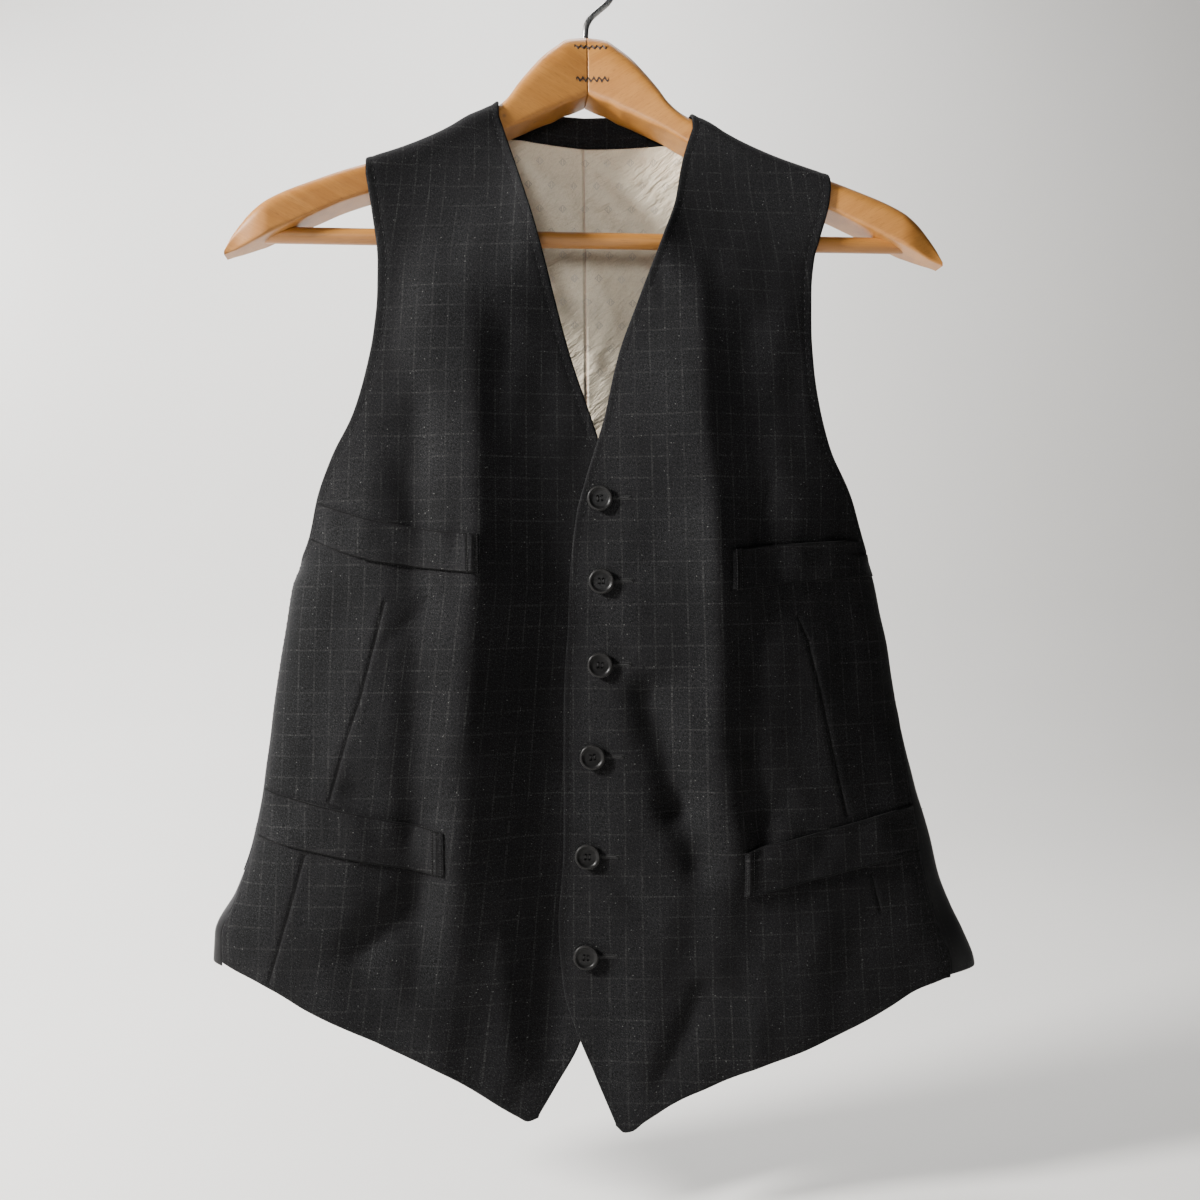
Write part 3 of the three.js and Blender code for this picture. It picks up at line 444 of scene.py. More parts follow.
def wall(face, turn, z, creases=None):
    """Point of the body's middle surface at a turn and height below the shoulder."""
    turn, z = np.broadcast_arrays(np.asarray(turn, float), np.asarray(z, float))
    middle = (body["left"](z) + body["right"](z)) / 2
    half = (body["right"](z) - body["left"](z)) / 2
    s, c = np.sin(turn), face * np.cos(turn)
    depth = np.where(c < 0, body["front"](z), body["back"](z))
    x = middle + half * power(s, 2 / OVAL_POWER)
    oval_y = body["side"](z) + depth * power(c, 2 / OVAL_POWER)
    start = wrap_start(face, x)
    near = smooth((z - start + SHOULDER_BLEND) / SHOULDER_BLEND)
    y = lerp(oval_y, arm_y(x) + face * wrap_reach(face), near)
    out_x = power(s, 2 - 2 / OVAL_POWER) / half
    out_y = power(c, 2 - 2 / OVAL_POWER) / depth
    size = np.maximum(np.hypot(out_x, out_y), 1e-12)
    seam = np.radians(np.where(turn > 0, side_seam[RIGHT](z), side_seam[LEFT](z)))
    seam = seam if face == FRONT else np.pi - seam
    shared = 0.5 * smooth(1 - np.abs(np.abs(turn) - seam) / SEAM_BLEND)
    tables = (FOLDS,) if creases is None else (FOLDS, creases)
    own, other = (sum(fold_rise(table, side, x, z) for table in tables) for side in (face, -face))
    rise = lerp(own, other, shared)
    if creases is not None:
        rise = rise + ripple(x, z, WALL_RIPPLES) * smooth((1.2 - near) / 0.7)
    rise = rise * (1 - near)
    return np.stack([x + out_x / size * rise, y + out_y / size * rise, z], -1)


def over_arm(face, x, t):
    """Point over the hanger's arm: t runs from the wrap's start to the shoulder seam."""
    reach = wrap_reach(face)
    seam_y = WRAP["seam"] + face * SEAM_GAP / 2
    seam_angle = math.acos(float(power(face * seam_y / reach, WRAP["power"] / 2)))
    angle = seam_angle * t
    rise = (ARM_HALF_HEIGHT + WRAP["rise"]) * np.sin(angle) ** (2 / WRAP["power"])
    y = arm_y(x) + face * reach * power(np.cos(angle), 2 / WRAP["power"])
    wrapped = np.stack(np.broadcast_arrays(x, y, arm_top(x) - ARM_HALF_HEIGHT + rise), -1)
    if face == FRONT:
        return wrapped
    height = lerp(wrap_start(face, x), NECK["top"], t)
    upright = np.stack(np.broadcast_arrays(x, arm_y(x) + reach, height), -1)
    beside = smooth((np.abs(x) - NECK["inner"]) / (NECK["outer"] - NECK["inner"]))
    beside = np.broadcast_to(beside, wrapped.shape[:-1])[..., None]
    return lerp(upright, wrapped, beside)


def outer_turn(side, face, z):
    """Turn of a side's outer edge: the armhole, and the side seam below the underarm."""
    seam = side_seam[side](z)
    low = side * np.radians(seam if face == FRONT else 180 - seam)
    inset = BACK_ARMHOLE_INSET * smooth((z - UNDERARM_Z) / 60) if face == BACK else 0
    high = turn_at(armhole[side](z) - side * inset, z)
    return np.where(z < UNDERARM_Z, low, high)


LEVELS = np.arange(-750.0, -89.0, 4.0)


class Panel:
    """One piece of cloth on the body: a grid of points, with the cloth's own measures."""

    def __init__(self, face, a, b, lower, upper, shares, heights, over_rows=0, inset_a=0,
                 inset_b=0, creases=None):
        self.face = face
        self.turns = np.empty((len(LEVELS), len(shares)))
        self.lengths = np.empty((len(LEVELS), len(shares)))
        for i, z in enumerate(LEVELS):
            start, stop = float(a(z)), float(b(z))
            line = np.linspace(start, stop, 61)
            run = run_along(wall(face, line, z))
            goal = inset_a + (run[-1] - inset_a - inset_b) * shares
            self.turns[i] = np.interp(goal, run, line)
            centre = float(turn_at(0.0, z))
            offset = run_along(wall(face, np.linspace(centre, start, 31), z))[-1]
            self.lengths[i] = np.sign(start - centre) * offset + np.sign(stop - start) * goal
        low, high = self.settle(lower), self.settle(upper)
        z = low[:, None] + (high - low)[:, None] * heights[None, :]
        points = wall(face, self.read(self.turns, z), z, creases)
        across, along = self.read(self.lengths, z), z.copy()
        if over_rows:
            t = (np.arange(1, over_rows + 1) / over_rows)[None, :]
            over = over_arm(face, points[:, -1, 0][:, None], t)
            points = np.concatenate([points, over], 1)
            climb = run_along(points[:, len(heights) - 1:], 1)[:, 1:]
            along = np.concatenate([along, along[:, -1:] + climb], 1)
            across = np.concatenate([across, np.repeat(across[:, -1:], over_rows, 1)], 1)
        self.points, self.across, self.along = points, across, along
        self.normals = grid_normals(points, face)

    def read(self, table, z):
        place = np.clip((z - LEVELS[0]) / (LEVELS[1] - LEVELS[0]), 0, len(LEVELS) - 1.001)
        i = place.astype(int)
        part = place - i
        j = np.arange(table.shape[1])
        j = j if z.ndim == 1 else j[:, None]
        return table[i, j] * (1 - part) + table[i + 1, j] * part

    def settle(self, level):
        z = level(np.zeros(self.turns.shape[1]))
        for _ in range(12):
            z = level(wall(self.face, self.read(self.turns, z), z)[:, 0])
        return z

    def edge_distance(self):
        """Distance of each point from the piece's outline, in millimetres."""
        run, climb = run_along(self.points), run_along(self.points, 1)
        return np.minimum(np.minimum(run, run[-1:] - run), np.minimum(climb, climb[:, -1:] - climb))


def grid_normals(points, face):
    """Unit normals of a grid of points, away from the body on its own face."""
    across = np.gradient(points, axis=0)
    up = np.gradient(points, axis=1)
    normals = unit(np.cross(across, up))
    middle = normals[normals.shape[0] // 2, normals.shape[1] // 3]
    return normals * np.sign(middle[1] * face)


def spaced(count, edges=(), total=1.0):
    """Shares from 0 to 1, evenly, with extra ones close to both ends."""
    near = np.array(edges) / total
    even = np.linspace(0, 1, count)
    even = even[(even > near[-1] * 1.4) & (even < 1 - near[-1] * 1.4)] if len(near) else even[1:-1]
    return np.concatenate([[0], near, even, 1 - near[::-1], [1]])


def dart_distance(side, x, z):
    """Signed distance from the nearest dart line, growing past its ends."""
    best = np.full(x.shape, NO_SEAM)
    for line in DARTS[side]:
        for (x1, z1), (x2, z2) in zip(line, line[1:]):
            length = math.hypot(x2 - x1, z2 - z1)
            dx, dz = (x2 - x1) / length, (z2 - z1) / length
            run = (x - x1) * dx + (z - z1) * dz
            off = (x - x1) * dz - (z - z1) * dx
            past = np.maximum(np.maximum(-run, run - length), 0)
            found = np.where(past > 0, np.hypot(off, past) + 0.4, off)
            best = np.where(np.abs(found) < np.abs(best), found, best)
    return best


# Meshes, pieces and places on the cloth

def shell(name, outer, inner, across, along, **marks):
    """Closed cloth between two grids of points, with its own map and marks."""
    columns, rows = outer.shape[:2]
    count = columns * rows
    index = np.arange(count).reshape(columns, rows)
    a, b, c, d = index[:-1, :-1], index[1:, :-1], index[1:, 1:], index[:-1, 1:]
    outside = np.stack([a, b, c, d], -1).reshape(-1, 4)
    inside = outside[:, ::-1] + count
    loop = np.concatenate([index[:, 0], index[-1, 1:], index[-2::-1, -1], index[0, -2:0:-1]])
    after = np.roll(loop, -1)
    rim = np.stack([after, loop, loop + count, after + count], -1)
    faces = np.concatenate([outside, inside, rim])
    flat = outer.reshape(-1, 3)
    p, q, r = flat[a.flat[0]], flat[b.flat[0]], flat[d.flat[0]]
    out = flat[a.flat[0]] - inner.reshape(-1, 3)[a.flat[0]]
    if np.dot(np.cross(q - p, r - p), out) < 0:
        faces = faces[:, ::-1]
    points = np.concatenate([flat, inner.reshape(-1, 3)]) * MM
    mesh = bpy.data.meshes.new(name)
    mesh.from_pydata(points.tolist(), [], faces.tolist())
    place = np.stack([np.tile(across.ravel(), 2), np.tile(along.ravel(), 2)], -1) / 100
    set_map(mesh, place)
    for mark, values in marks.items():
        layer = mesh.attributes.new(mark, "FLOAT", "POINT")
        layer.data.foreach_set("value", np.tile(np.ravel(values), 2).astype(np.float32))
    mesh.shade_smooth()
    return mesh


def set_map(mesh, place):
    """Gives each corner its vertex's place on the cloth, in tenths of a metre."""
    loops = np.empty(len(mesh.loops), np.int32)
    mesh.loops.foreach_get("vertex_index", loops)
    layer = mesh.uv_layers.new(name="cloth")
    layer.data.foreach_set("uv", place[loops].astype(np.float32).ravel())


def put(name, data):
    """Adds an object that holds a mesh, curve, light or camera to the scene."""
    made = bpy.data.objects.new(name, data)
    bpy.context.scene.collection.objects.link(made)
    return made


def evaluated(name, holder, *helpers):
    """The plain mesh that an object makes. The object and its helpers are then removed."""
    seen = holder.evaluated_get(bpy.context.evaluated_depsgraph_get())
    mesh = bpy.data.meshes.new_from_object(seen)
    mesh.name = name
    for used in (*helpers, holder):
        bpy.data.objects.remove(used)
    return mesh


def add_piece(name, mesh, material, nodes=()):
    """Makes a piece that rides on the one body and stands for its nodes."""
    piece = put(name, mesh)
    mesh.materials.clear()
    mesh.materials.append(material)
    if nodes:
        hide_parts(*nodes)
    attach(piece, "root")
    return piece


def add_cloth(node, mesh, material):
    """Makes the piece of a node that is one sheet of cloth, and looks up its cut size, which nothing then
    uses.
    """
    piece = add_piece(node + "_cloth", mesh, material, [node])
    width, length, area, rests_on = CUTS[node]
    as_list(rests_on)


def weld(mesh, distance=1e-5):
    """Joins points that lie together and turns the faces outwards."""
    made = bmesh.new()
    made.from_mesh(mesh)
    bmesh.ops.remove_doubles(made, verts=made.verts, dist=distance)
    bmesh.ops.recalc_face_normals(made, faces=made.faces)
    made.to_mesh(mesh)
    made.free()


def shade(mesh, sharp):
    """Smooth shading, but for edges that bend more than this, in degrees."""
    mesh.shade_smooth()
    mesh.set_sharp_from_angle(angle=math.radians(sharp))


def ring_faces(count, rings, capped=True):
    """Faces between rings of points, and over both ends."""
    faces = []
    for start in range(0, (rings - 1) * count, count):
        for k in range(count):
            after = (k + 1) % count
            faces.append((start + k, start + after, start + count + after, start + count + k))
    if capped:
        faces.append(tuple(range(count))[::-1])
        faces.append(tuple(range((rings - 1) * count, rings * count)))
    return faces


def ring_mesh(name, rings, sharp):
    """A closed mesh through rings of points in millimetres."""
    rings = np.asarray(rings)
    mesh = bpy.data.meshes.new(name)
    points = (rings.reshape(-1, 3) * MM).tolist()
    mesh.from_pydata(points, [], ring_faces(rings.shape[1], rings.shape[0]))
    weld(mesh, 1e-7)
    shade(mesh, sharp)
    return mesh


def rounded(distance, thick, low=0.3):
    """Half thickness of a cloth, rounded towards its edge."""
    inside = np.clip(distance / (0.6 * thick), 0, 1)
    return thick / 2 * np.maximum(np.sqrt(1 - (1 - inside) ** 2), low)


def over_lift(distance, z):
    """Lift of the top front over the one below, by the distance from its front edge."""
    across = 1 - smooth((distance - OVERLAP["full"]) / (OVERLAP["gone"] - OVERLAP["full"]))
    return (FRONT_CLOTH + LAY_GAP) * across * smooth((OVERLAP["top"] - z) / OVERLAP["rise"])


def front_place(x, z, out, side=RIGHT):
    """Points and normals on a front by x and z, moved out from its middle."""
    x, z = np.asarray(x, float), np.asarray(z, float)

    def at(dx, dz):
        return wall(FRONT, turn_at(x + dx, z + dz), z + dz, CREASES)

    normal = unit(np.cross(at(0.8, 0) - at(-0.8, 0), at(0, 0.8) - at(0, -0.8)))
    normal = normal * -np.sign(normal[..., 1:2])
    lift = np.full(x.shape, float(out))
    if side == RIGHT:
        lift = lift + over_lift(np.abs(x - front_edge[RIGHT](z)), z)
    return at(0, 0) + normal * lift[..., None], normal


panels = {}


# Materials

class Nodes:
    """Short ways to add nodes to one tree. A value is a number, a colour or another's output."""

    def __init__(self, tree):
        self.tree = tree

    def feed(self, socket, value):
        if isinstance(value, bpy.types.NodeSocket):
            self.tree.links.new(value, socket)
        elif value is not None:
            socket.default_value = value

    def add(self, kind, *values, **settings):
        made = self.tree.nodes.new(kind)
        for name, value in settings.items():
            setattr(made, name, value)
        for socket, value in zip(made.inputs, values):
            self.feed(socket, value)
        return made

    def math(self, operation, *values):
        return self.add("ShaderNodeMath", *values, operation=operation).outputs[0]

    def times(self, a, b):
        return self.math("MULTIPLY", a, b)

    def plus(self, a, b):
        return self.math("ADD", a, b)

    def minus(self, a, b):
        return self.math("SUBTRACT", a, b)

    def over(self, a, b):
        return self.math("DIVIDE", a, b)

    def size(self, value):
        return self.math("ABSOLUTE", value)

    def scaled(self, vector, by):
        return self.vector("MULTIPLY", vector, by)

    def turned(self, vector, axis, angle):
        made = self.add("ShaderNodeVectorRotate", vector, rotation_type=axis + "_AXIS")
        self.feed(made.inputs["Angle"], angle)
        return made.outputs[0]

    def spot(self):
        return self.add("ShaderNodeTexCoord").outputs["Object"]

    def mark(self, name):
        return self.add("ShaderNodeAttribute", attribute_name=name).outputs["Fac"]

    def spots(self, vector, scale, low, high):
        """Small round spots, scattered once in each cell."""
        made = self.add("ShaderNodeTexVoronoi", vector)
        made.inputs["Scale"].default_value = scale
        return self.minus(1.0, self.step(made.outputs["Distance"], low, high))

    def vector(self, operation, *values):
        return self.add("ShaderNodeVectorMath", *values, operation=operation).outputs[0]

    def join(self, x, y=0.0, z=0.0):
        return self.add("ShaderNodeCombineXYZ", x, y, z).outputs[0]

    def split(self, vector):
        return self.add("ShaderNodeSeparateXYZ", vector).outputs

    def step(self, value, low, high, bottom=0.0, top=1.0):
        made = self.add("ShaderNodeMapRange", value, low, high, bottom, top,
                        interpolation_type="SMOOTHSTEP")
        return made.outputs[0]

    def noise(self, vector, scale, detail=2.0, rough=0.5):
        made = self.add("ShaderNodeTexNoise", vector)
        made.inputs["Scale"].default_value = scale
        made.inputs["Detail"].default_value = detail
        made.inputs["Roughness"].default_value = rough
        return made.outputs[0]

    def mix(self, share, a, b):
        made = self.add("ShaderNodeMix", data_type="RGBA")
        self.feed(made.inputs[0], share)
        self.feed(made.inputs[6], a)
        self.feed(made.inputs[7], b)
        return made.outputs[2]

    def group(self, tree, *values):
        made = self.tree.nodes.new("ShaderNodeGroup")
        made.node_tree = tree
        for socket, value in zip(made.inputs, values):
            self.feed(socket, value)
        return made.outputs

    def bump(self, height, strength, distance):
        made = self.add("ShaderNodeBump", strength, distance)
        self.feed(made.inputs["Height"], height)
        return made.outputs[0]

    def finish(self, shader, base, rough, relief, fixed):
        """Feeds what varies to the shader, and sets what is the same all over on its own sockets."""
        self.feed(shader.inputs["Base Color"], base)
        self.feed(shader.inputs["Roughness"], rough)
        self.feed(shader.inputs["Normal"], self.bump(*relief))
        for name, value in fixed.items():
            shader.inputs[name].default_value = value


def shader_group(name, inputs, outputs):
    """Makes a function's nodes one shader node group, built once, with named sockets."""
    def take(build):
        def get():
            if name in bpy.data.node_groups:
                return bpy.data.node_groups[name]
            tree = bpy.data.node_groups.new(name, "ShaderNodeTree")
            for way, labels in (("INPUT", inputs), ("OUTPUT", outputs)):
                for label in labels:
                    kind = "NodeSocketVector" if label == "Place" else "NodeSocketFloat"
                    tree.interface.new_socket(label, in_out=way, socket_type=kind)
            n = Nodes(tree)
            given = n.add("NodeGroupInput").outputs[:len(inputs)]
            n.add("NodeGroupOutput", *build(n, *given))
            return tree
        return get
    return take


@shader_group("Place on the cloth", (), ("Place", "Across", "Along"))
def cloth_place_group(n):
    """Place on the cloth in millimetres, from its own map."""
    place = n.scaled(n.add("ShaderNodeUVMap", uv_map="cloth").outputs[0], (100, 100, 100))
    across, along, _ = n.split(place)
    return place, across, along


@shader_group("Twill weave", ("Place", "Yarn", "Angle"), ("Shade", "Height"))
def weave_group(n, place, yarn, angle):
    """Slanting twill yarns and their fuzz."""
    per_yarn = n.over(1.0, yarn)
    across, along, _ = n.split(n.turned(place, "Z", angle))
    ribs = n.join(n.times(across, per_yarn), n.times(along, n.times(per_yarn, 0.3)))
    rib = n.noise(ribs, 1.0, 1.0, 0.5)
    fuzz = n.noise(n.scaled(place, n.join(per_yarn, per_yarn, 1.0)), 1.3, 2.0, 0.65)
    shade = n.plus(n.times(rib, 0.6), n.times(fuzz, 0.4))
    return shade, n.step(shade, 0.3, 0.7)


@shader_group("Broken lines", ("Across", "Along", "Pitch", "Half width", "Gaps"), ("Line",))
def broken_lines_group(n, across, along, pitch, half, gaps):
    """Fine lines a pitch apart that come and go along their length."""
    share = n.over(across, pitch)
    cell = n.math("FLOOR", share)

    def drift(shift, run, detail=2.0):
        return n.noise(n.join(n.times(cell, shift), n.times(along, run)), 1.0, detail)

    off = n.times(n.size(n.minus(n.math("FRACT", share), 0.5)), pitch)
    off = n.size(n.minus(off, n.times(drift(3.7, 0.06), 0.5)))
    line = n.minus(1.0, n.step(off, 0.0, half))
    dash = n.step(drift(7.3, 1.0, 1.0), gaps, n.plus(gaps, 0.22), 0.22, 1.0)
    dash = n.plus(dash, n.step(drift(9.1, 1.9), 0.56, 0.66, 0.0, 1.6))
    swell = n.step(drift(5.1, 0.035), 0.36, 0.62, 0.2, 1.0)
    return (n.times(line, n.times(dash, swell)),)


@shader_group("Seam and shadow line", ("Distance",), ("Line", "Hollow"))
def seam_and_shadow_line_group(n, distance):
    """Line and soft hollow along a seam, from its signed distance in millimetres. Along the welts' top
    and bottom edges the line is painted shadow.
    """
    off = n.size(distance)
    return n.minus(1.0, n.step(off, 0.12, 0.55)), n.minus(1.0, n.step(off, 0.1, 1.8))


@shader_group("Rubbed edge", ("Distance", "Place"), ("Wear",))
def wear_group(n, distance, place):
    """Rubbed, paler fibres in a narrow band at a cloth's edge."""
    band = n.minus(1.0, n.step(distance, 0.2, 1.6))
    return (n.times(band, n.step(n.noise(place, 0.12, 3.0, 0.6), 0.45, 0.65)),)


@shader_group("Wood grain", ("Place", "Turn"), ("Fibre", "Bands", "Pores"))
def grain_group(n, place, turn):
    """Long wood fibres, growth bands and small pores."""
    turned = n.turned(place, "Y", turn)
    drift = n.noise(n.scaled(turned, (9, 9, 9)), 1.0, 2.0)
    lifted = n.vector("ADD", turned, n.scaled(n.join(0.0, drift, drift), (0, 0.006, 0.006)))
    fibre = n.noise(n.scaled(lifted, (28, 900, 1500)), 1.0, 3.0, 0.6)
    bands = n.noise(n.scaled(lifted, (5, 90, 170)), 1.0, 2.0, 0.5)
    pore = n.noise(n.scaled(lifted, (120, 1600, 2600)), 1.0, 1.0, 0.5)
    return fibre, bands, n.step(pore, 0.62, 0.7)


def shade_of(colour, share=1.0):
    """A colour made darker or paler by a share."""
    return tuple(min(1, value * share) for value in colour) + (1,)


def new_material(name):
    """A material, the helper of its tree, and its Principled shader."""
    material = bpy.data.materials.new(name)
    material.use_nodes = True
    return material, Nodes(material.node_tree), material.node_tree.nodes["Principled BSDF"]


def cached(build):
    """Keeps the one material that a function makes."""
    made = {}

    def get(*key):
        if key not in made:
            made[key] = build(*key)
        return made[key]

    return get


@cached
def wool_suiting(seamed):
    look = bpy.context.scene.waistcoat_cloth
    material, n, shader = new_material("Wool suiting" if seamed else "Wool trim")
    place, across, along = n.group(cloth_place_group())
    shade, height = n.group(weave_group(), place, 0.55, math.radians(-32))
    lines = n.group(broken_lines_group(), across, along, look.line_pitch / MM, 0.33, 0.44)[0]
    rungs = n.group(broken_lines_group(), along, across, look.rung_pitch / MM, 0.3, 0.46)[0]
    slub = n.spots(n.scaled(place, (0.2, 0.2, 1)), 1.0, 0.03, 0.085)
    speck = n.step(n.noise(place, 1.5, 1.0, 0.6), 0.58, 0.72, 0.0, 0.2)
    mottle = n.step(n.noise(place, 0.018, 3.0, 0.6), 0.3, 0.7, 0.0, 0.35)
    dark, pale_yarn = shade_of(look.wool_colour, 0.62), shade_of(look.fleck_colour)
    base = n.mix(n.step(shade, 0.34, 0.66), dark, shade_of(look.wool_colour, 2.5))
    base = n.mix(mottle, n.mix(speck, base, pale_yarn), dark)
    check = n.math("MAXIMUM", n.times(rungs, 0.15), n.times(slub, 0.7))
    check = n.math("MAXIMUM", n.times(lines, 0.15), check)
    fleck = n.times(check, n.step(shade, 0.2, 0.6, 0.45, 1.0))
    base = n.mix(fleck, base, pale_yarn)
    depth = n.plus(n.times(height, 0.5), n.times(fleck, 0.4))
    wear = n.group(wear_group(), n.mark("edge"), place)[0]
    base = n.mix(n.times(wear, 0.1), base, (0.04, 0.04, 0.043, 1))
    if seamed:
        # Near-black line on the seam mark: real seams on the darts and welt grooves, and painted shadow
        # along the welts' top and bottom edges.
        line, hollow = n.group(seam_and_shadow_line_group(), n.mark("seam"))
        base = n.mix(n.times(line, 0.85), base, (0.002, 0.002, 0.002, 1))
        depth = n.minus(depth, n.times(hollow, 3.0))
    n.finish(shader, base, n.step(shade, 0.2, 0.8, 0.92, 0.78), (depth, 0.55, 0.00022),
             {"Specular IOR Level": 0.1, "Sheen Weight": 0.03, "Sheen Roughness": 0.45})
    return material


@cached
def back_satin():
    look = bpy.context.scene.waistcoat_cloth
    material, n, shader = new_material("Back satin")
    place = n.group(cloth_place_group())[0]
    rib = n.noise(n.scaled(place, (3.2, 0.35, 1)), 1.0, 2.0, 0.55)
    weft = n.noise(n.scaled(place, (0.3, 2.6, 1)), 1.0, 1.0, 0.5)
    mottle = n.step(n.noise(place, 0.02, 3.0, 0.6), 0.35, 0.7, 0.0, 0.3)
    dark, pale = shade_of(look.satin_colour), shade_of(look.satin_colour, 1.9)
    base = n.mix(mottle, n.mix(n.step(rib, 0.3, 0.7, 0.0, 0.8), dark, pale), dark)
    wear = n.group(wear_group(), n.mark("edge"), place)[0]
    base = n.mix(n.times(wear, 0.2), base, (0.07, 0.07, 0.075, 1))
    depth = n.plus(n.times(rib, 0.6), n.times(weft, 0.4))
    n.finish(shader, base, n.step(rib, 0.2, 0.8, 0.62, 0.48), (depth, 0.3, 0.00012),
             {"Specular IOR Level": 0.14, "Sheen Weight": 0.02})
    return material


@cached
def figured_lining():
    look = bpy.context.scene.waistcoat_cloth
    material, n, shader = new_material("Figured lining")
    place, across, along = n.group(cloth_place_group())
    pitch = look.figure_pitch / MM
    row = n.over(along, pitch)
    shift = n.times(n.math("MODULO", n.math("FLOOR", row), 2.0), 0.5)
    cell = n.plus(n.over(across, pitch), shift)
    u = n.size(n.times(n.minus(n.math("FRACT", cell), 0.5), pitch))
    v = n.size(n.times(n.minus(n.math("FRACT", row), 0.5), pitch))
    diamond = n.math("COMPARE", n.plus(u, v), 2.3, 0.42)
    bars = n.times(n.math("LESS_THAN", n.size(n.minus(u, 0.75)), 0.3), n.math("LESS_THAN", v, 1.1))
    figure = n.math("MAXIMUM", diamond, bars)
    fine = n.noise(n.scaled(place, (3.0, 0.5, 1)), 1.0, 2.0)
    cross = n.noise(n.scaled(place, (0.5, 3.0, 1)), 1.0, 2.0)
    # Painted shade: random darker patches stand in for the shade of crumpled cloth.
    crumple_shade = n.step(n.noise(place, 0.06, 3.0, 0.6), 0.42, 0.72, 0.0, 0.35)
    cream, deep = shade_of(look.lining_colour), shade_of(look.lining_colour, 0.8)
    base = n.mix(crumple_shade, n.mix(n.step(fine, 0.3, 0.7, 0.0, 0.35), cream, deep), deep)
    tint = n.mix(n.noise(place, 0.03, 1.0), (0.42, 0.34, 0.24, 1), (0.8, 0.74, 0.62, 1))
    base = n.mix(n.times(figure, 0.9), base, tint)
    line, hollow = n.group(seam_and_shadow_line_group(), n.mark("seam"))
    base = n.mix(n.times(line, 0.6), base, (0.42, 0.22, 0.15, 1))
    slanted = n.scaled(n.turned(place, "Z", math.radians(-38)), (0.4, 1.5, 1))
    folds = n.times(n.noise(slanted, 0.13, 3.0, 0.62), 5.0)
    weave = n.plus(n.times(fine, 0.3), n.times(cross, 0.3))
    depth = n.plus(n.plus(weave, n.times(figure, 0.35)), folds)
    depth = n.minus(depth, n.times(hollow, 1.6))
    n.finish(shader, base, n.step(n.plus(fine, figure), 0.3, 1.4, 0.46, 0.3), (depth, 0.9, 0.0008),
             {"Sheen Weight": 0.1})
    return material


@cached
def thread(name):
    look = bpy.context.scene.waistcoat_trim
    colour = {"Light thread": look.hole_thread, "Lining thread": (0.45, 0.36, 0.27)}
    colour = colour.get(name, look.thread_colour)
    material, n, shader = new_material(name)
    twist = n.noise(n.scaled(n.spot(), (2600, 2600, 1300)), 1.0, 1.0)
    base = n.mix(n.step(twist, 0.35, 0.65), shade_of(colour), shade_of(colour, 1.8))
    n.finish(shader, base, n.step(twist, 0.2, 0.8, 0.75, 0.55), (twist, 0.3, 0.0001), {})
    return material


@cached
def button_horn():
    look = bpy.context.scene.waistcoat_trim
    material, n, shader = new_material("Dark polished button")
    spot = n.spot()
    cloud = n.noise(n.scaled(spot, (90, 90, 260)), 1.0, 4.0, 0.6)
    fine = n.noise(n.scaled(spot, (1500, 1500, 1500)), 1.0, 2.0)
    dark, pale = shade_of(look.button_colour), shade_of(look.button_colour, 2)
    base = n.mix(n.step(cloud, 0.35, 0.7), dark, pale)
    worn = n.times(n.mark("edge"), n.step(fine, 0.4, 0.62, 0.1, 0.4))
    base = n.mix(worn, base, (0.055, 0.053, 0.051, 1))
    n.finish(shader, base, n.step(fine, 0.3, 0.7, 0.3, 0.46), (n.plus(fine, cloud), 0.08, 0.0002),
             {"Specular IOR Level": 0.16})
    return material


@cached
def hanger_wood(side):
    look = bpy.context.scene.hanger_look
    material, n, shader = new_material(f"Hanger wood {side}")
    spot = n.spot()
    # Painted shade: the left arm's wood is painted a tenth darker than the right arm's, and the bar's a
    # little darker.
    turn, shade = {"left": (-0.5, 0.9), "right": (0.5, 1.0), "bar": (0.0, 0.92)}[side]
    fibre, bands, pores = n.group(grain_group(), spot, turn)
    deep = [value * drop for value, drop in zip(look.wood_colour, (0.62, 0.5, 0.4))]
    pale, deep = shade_of(look.wood_colour, shade), shade_of(deep, shade)
    base = n.mix(n.step(bands, 0.35, 0.68, 0.0, 0.4), pale, deep)
    base = n.mix(n.step(fibre, 0.35, 0.7, 0.0, 0.3), base, deep)
    base = n.mix(n.times(pores, 0.35), base, (0.12, 0.045, 0.015, 1))
    blotch = n.step(n.noise(spot, 22.0, 3.0, 0.6), 0.55, 0.75, 0.0, 0.3)
    base = n.mix(blotch, base, deep)
    speck = n.spots(spot, 42.0, 0.03, 0.08)
    base = n.mix(n.times(speck, 0.5), base, (0.1, 0.05, 0.03, 1))
    depth = n.minus(n.times(fibre, 0.6), n.plus(pores, speck))
    n.finish(shader, base, n.step(fibre, 0.25, 0.75, 0.5, 0.36), (depth, 0.18, 0.0002),
             {"Coat Weight": look.varnish, "Coat Roughness": 0.28})
    return material


@cached
def steel(name):
    look = bpy.context.scene.hanger_look
    worn = name == "Fastener steel"
    colour, low = ((0.1, 0.075, 0.065), 0.5) if worn else (look.steel_colour, 0.2)
    material, n, shader = new_material(name)
    spot = n.spot()
    draw = n.noise(n.scaled(spot, (1800, 1800, 220)), 1.0, 2.0)
    stain = n.step(n.noise(spot, 160.0, 3.0, 0.6), 0.45, 0.75, 0.0, 0.6)
    base = n.mix(stain, shade_of(colour), shade_of(colour, 0.55))
    n.finish(shader, base, n.step(draw, 0.25, 0.75, low, low + 0.16), (draw, 0.12, 0.0001),
             {"Metallic": 1.0})
    return material


# Stitches

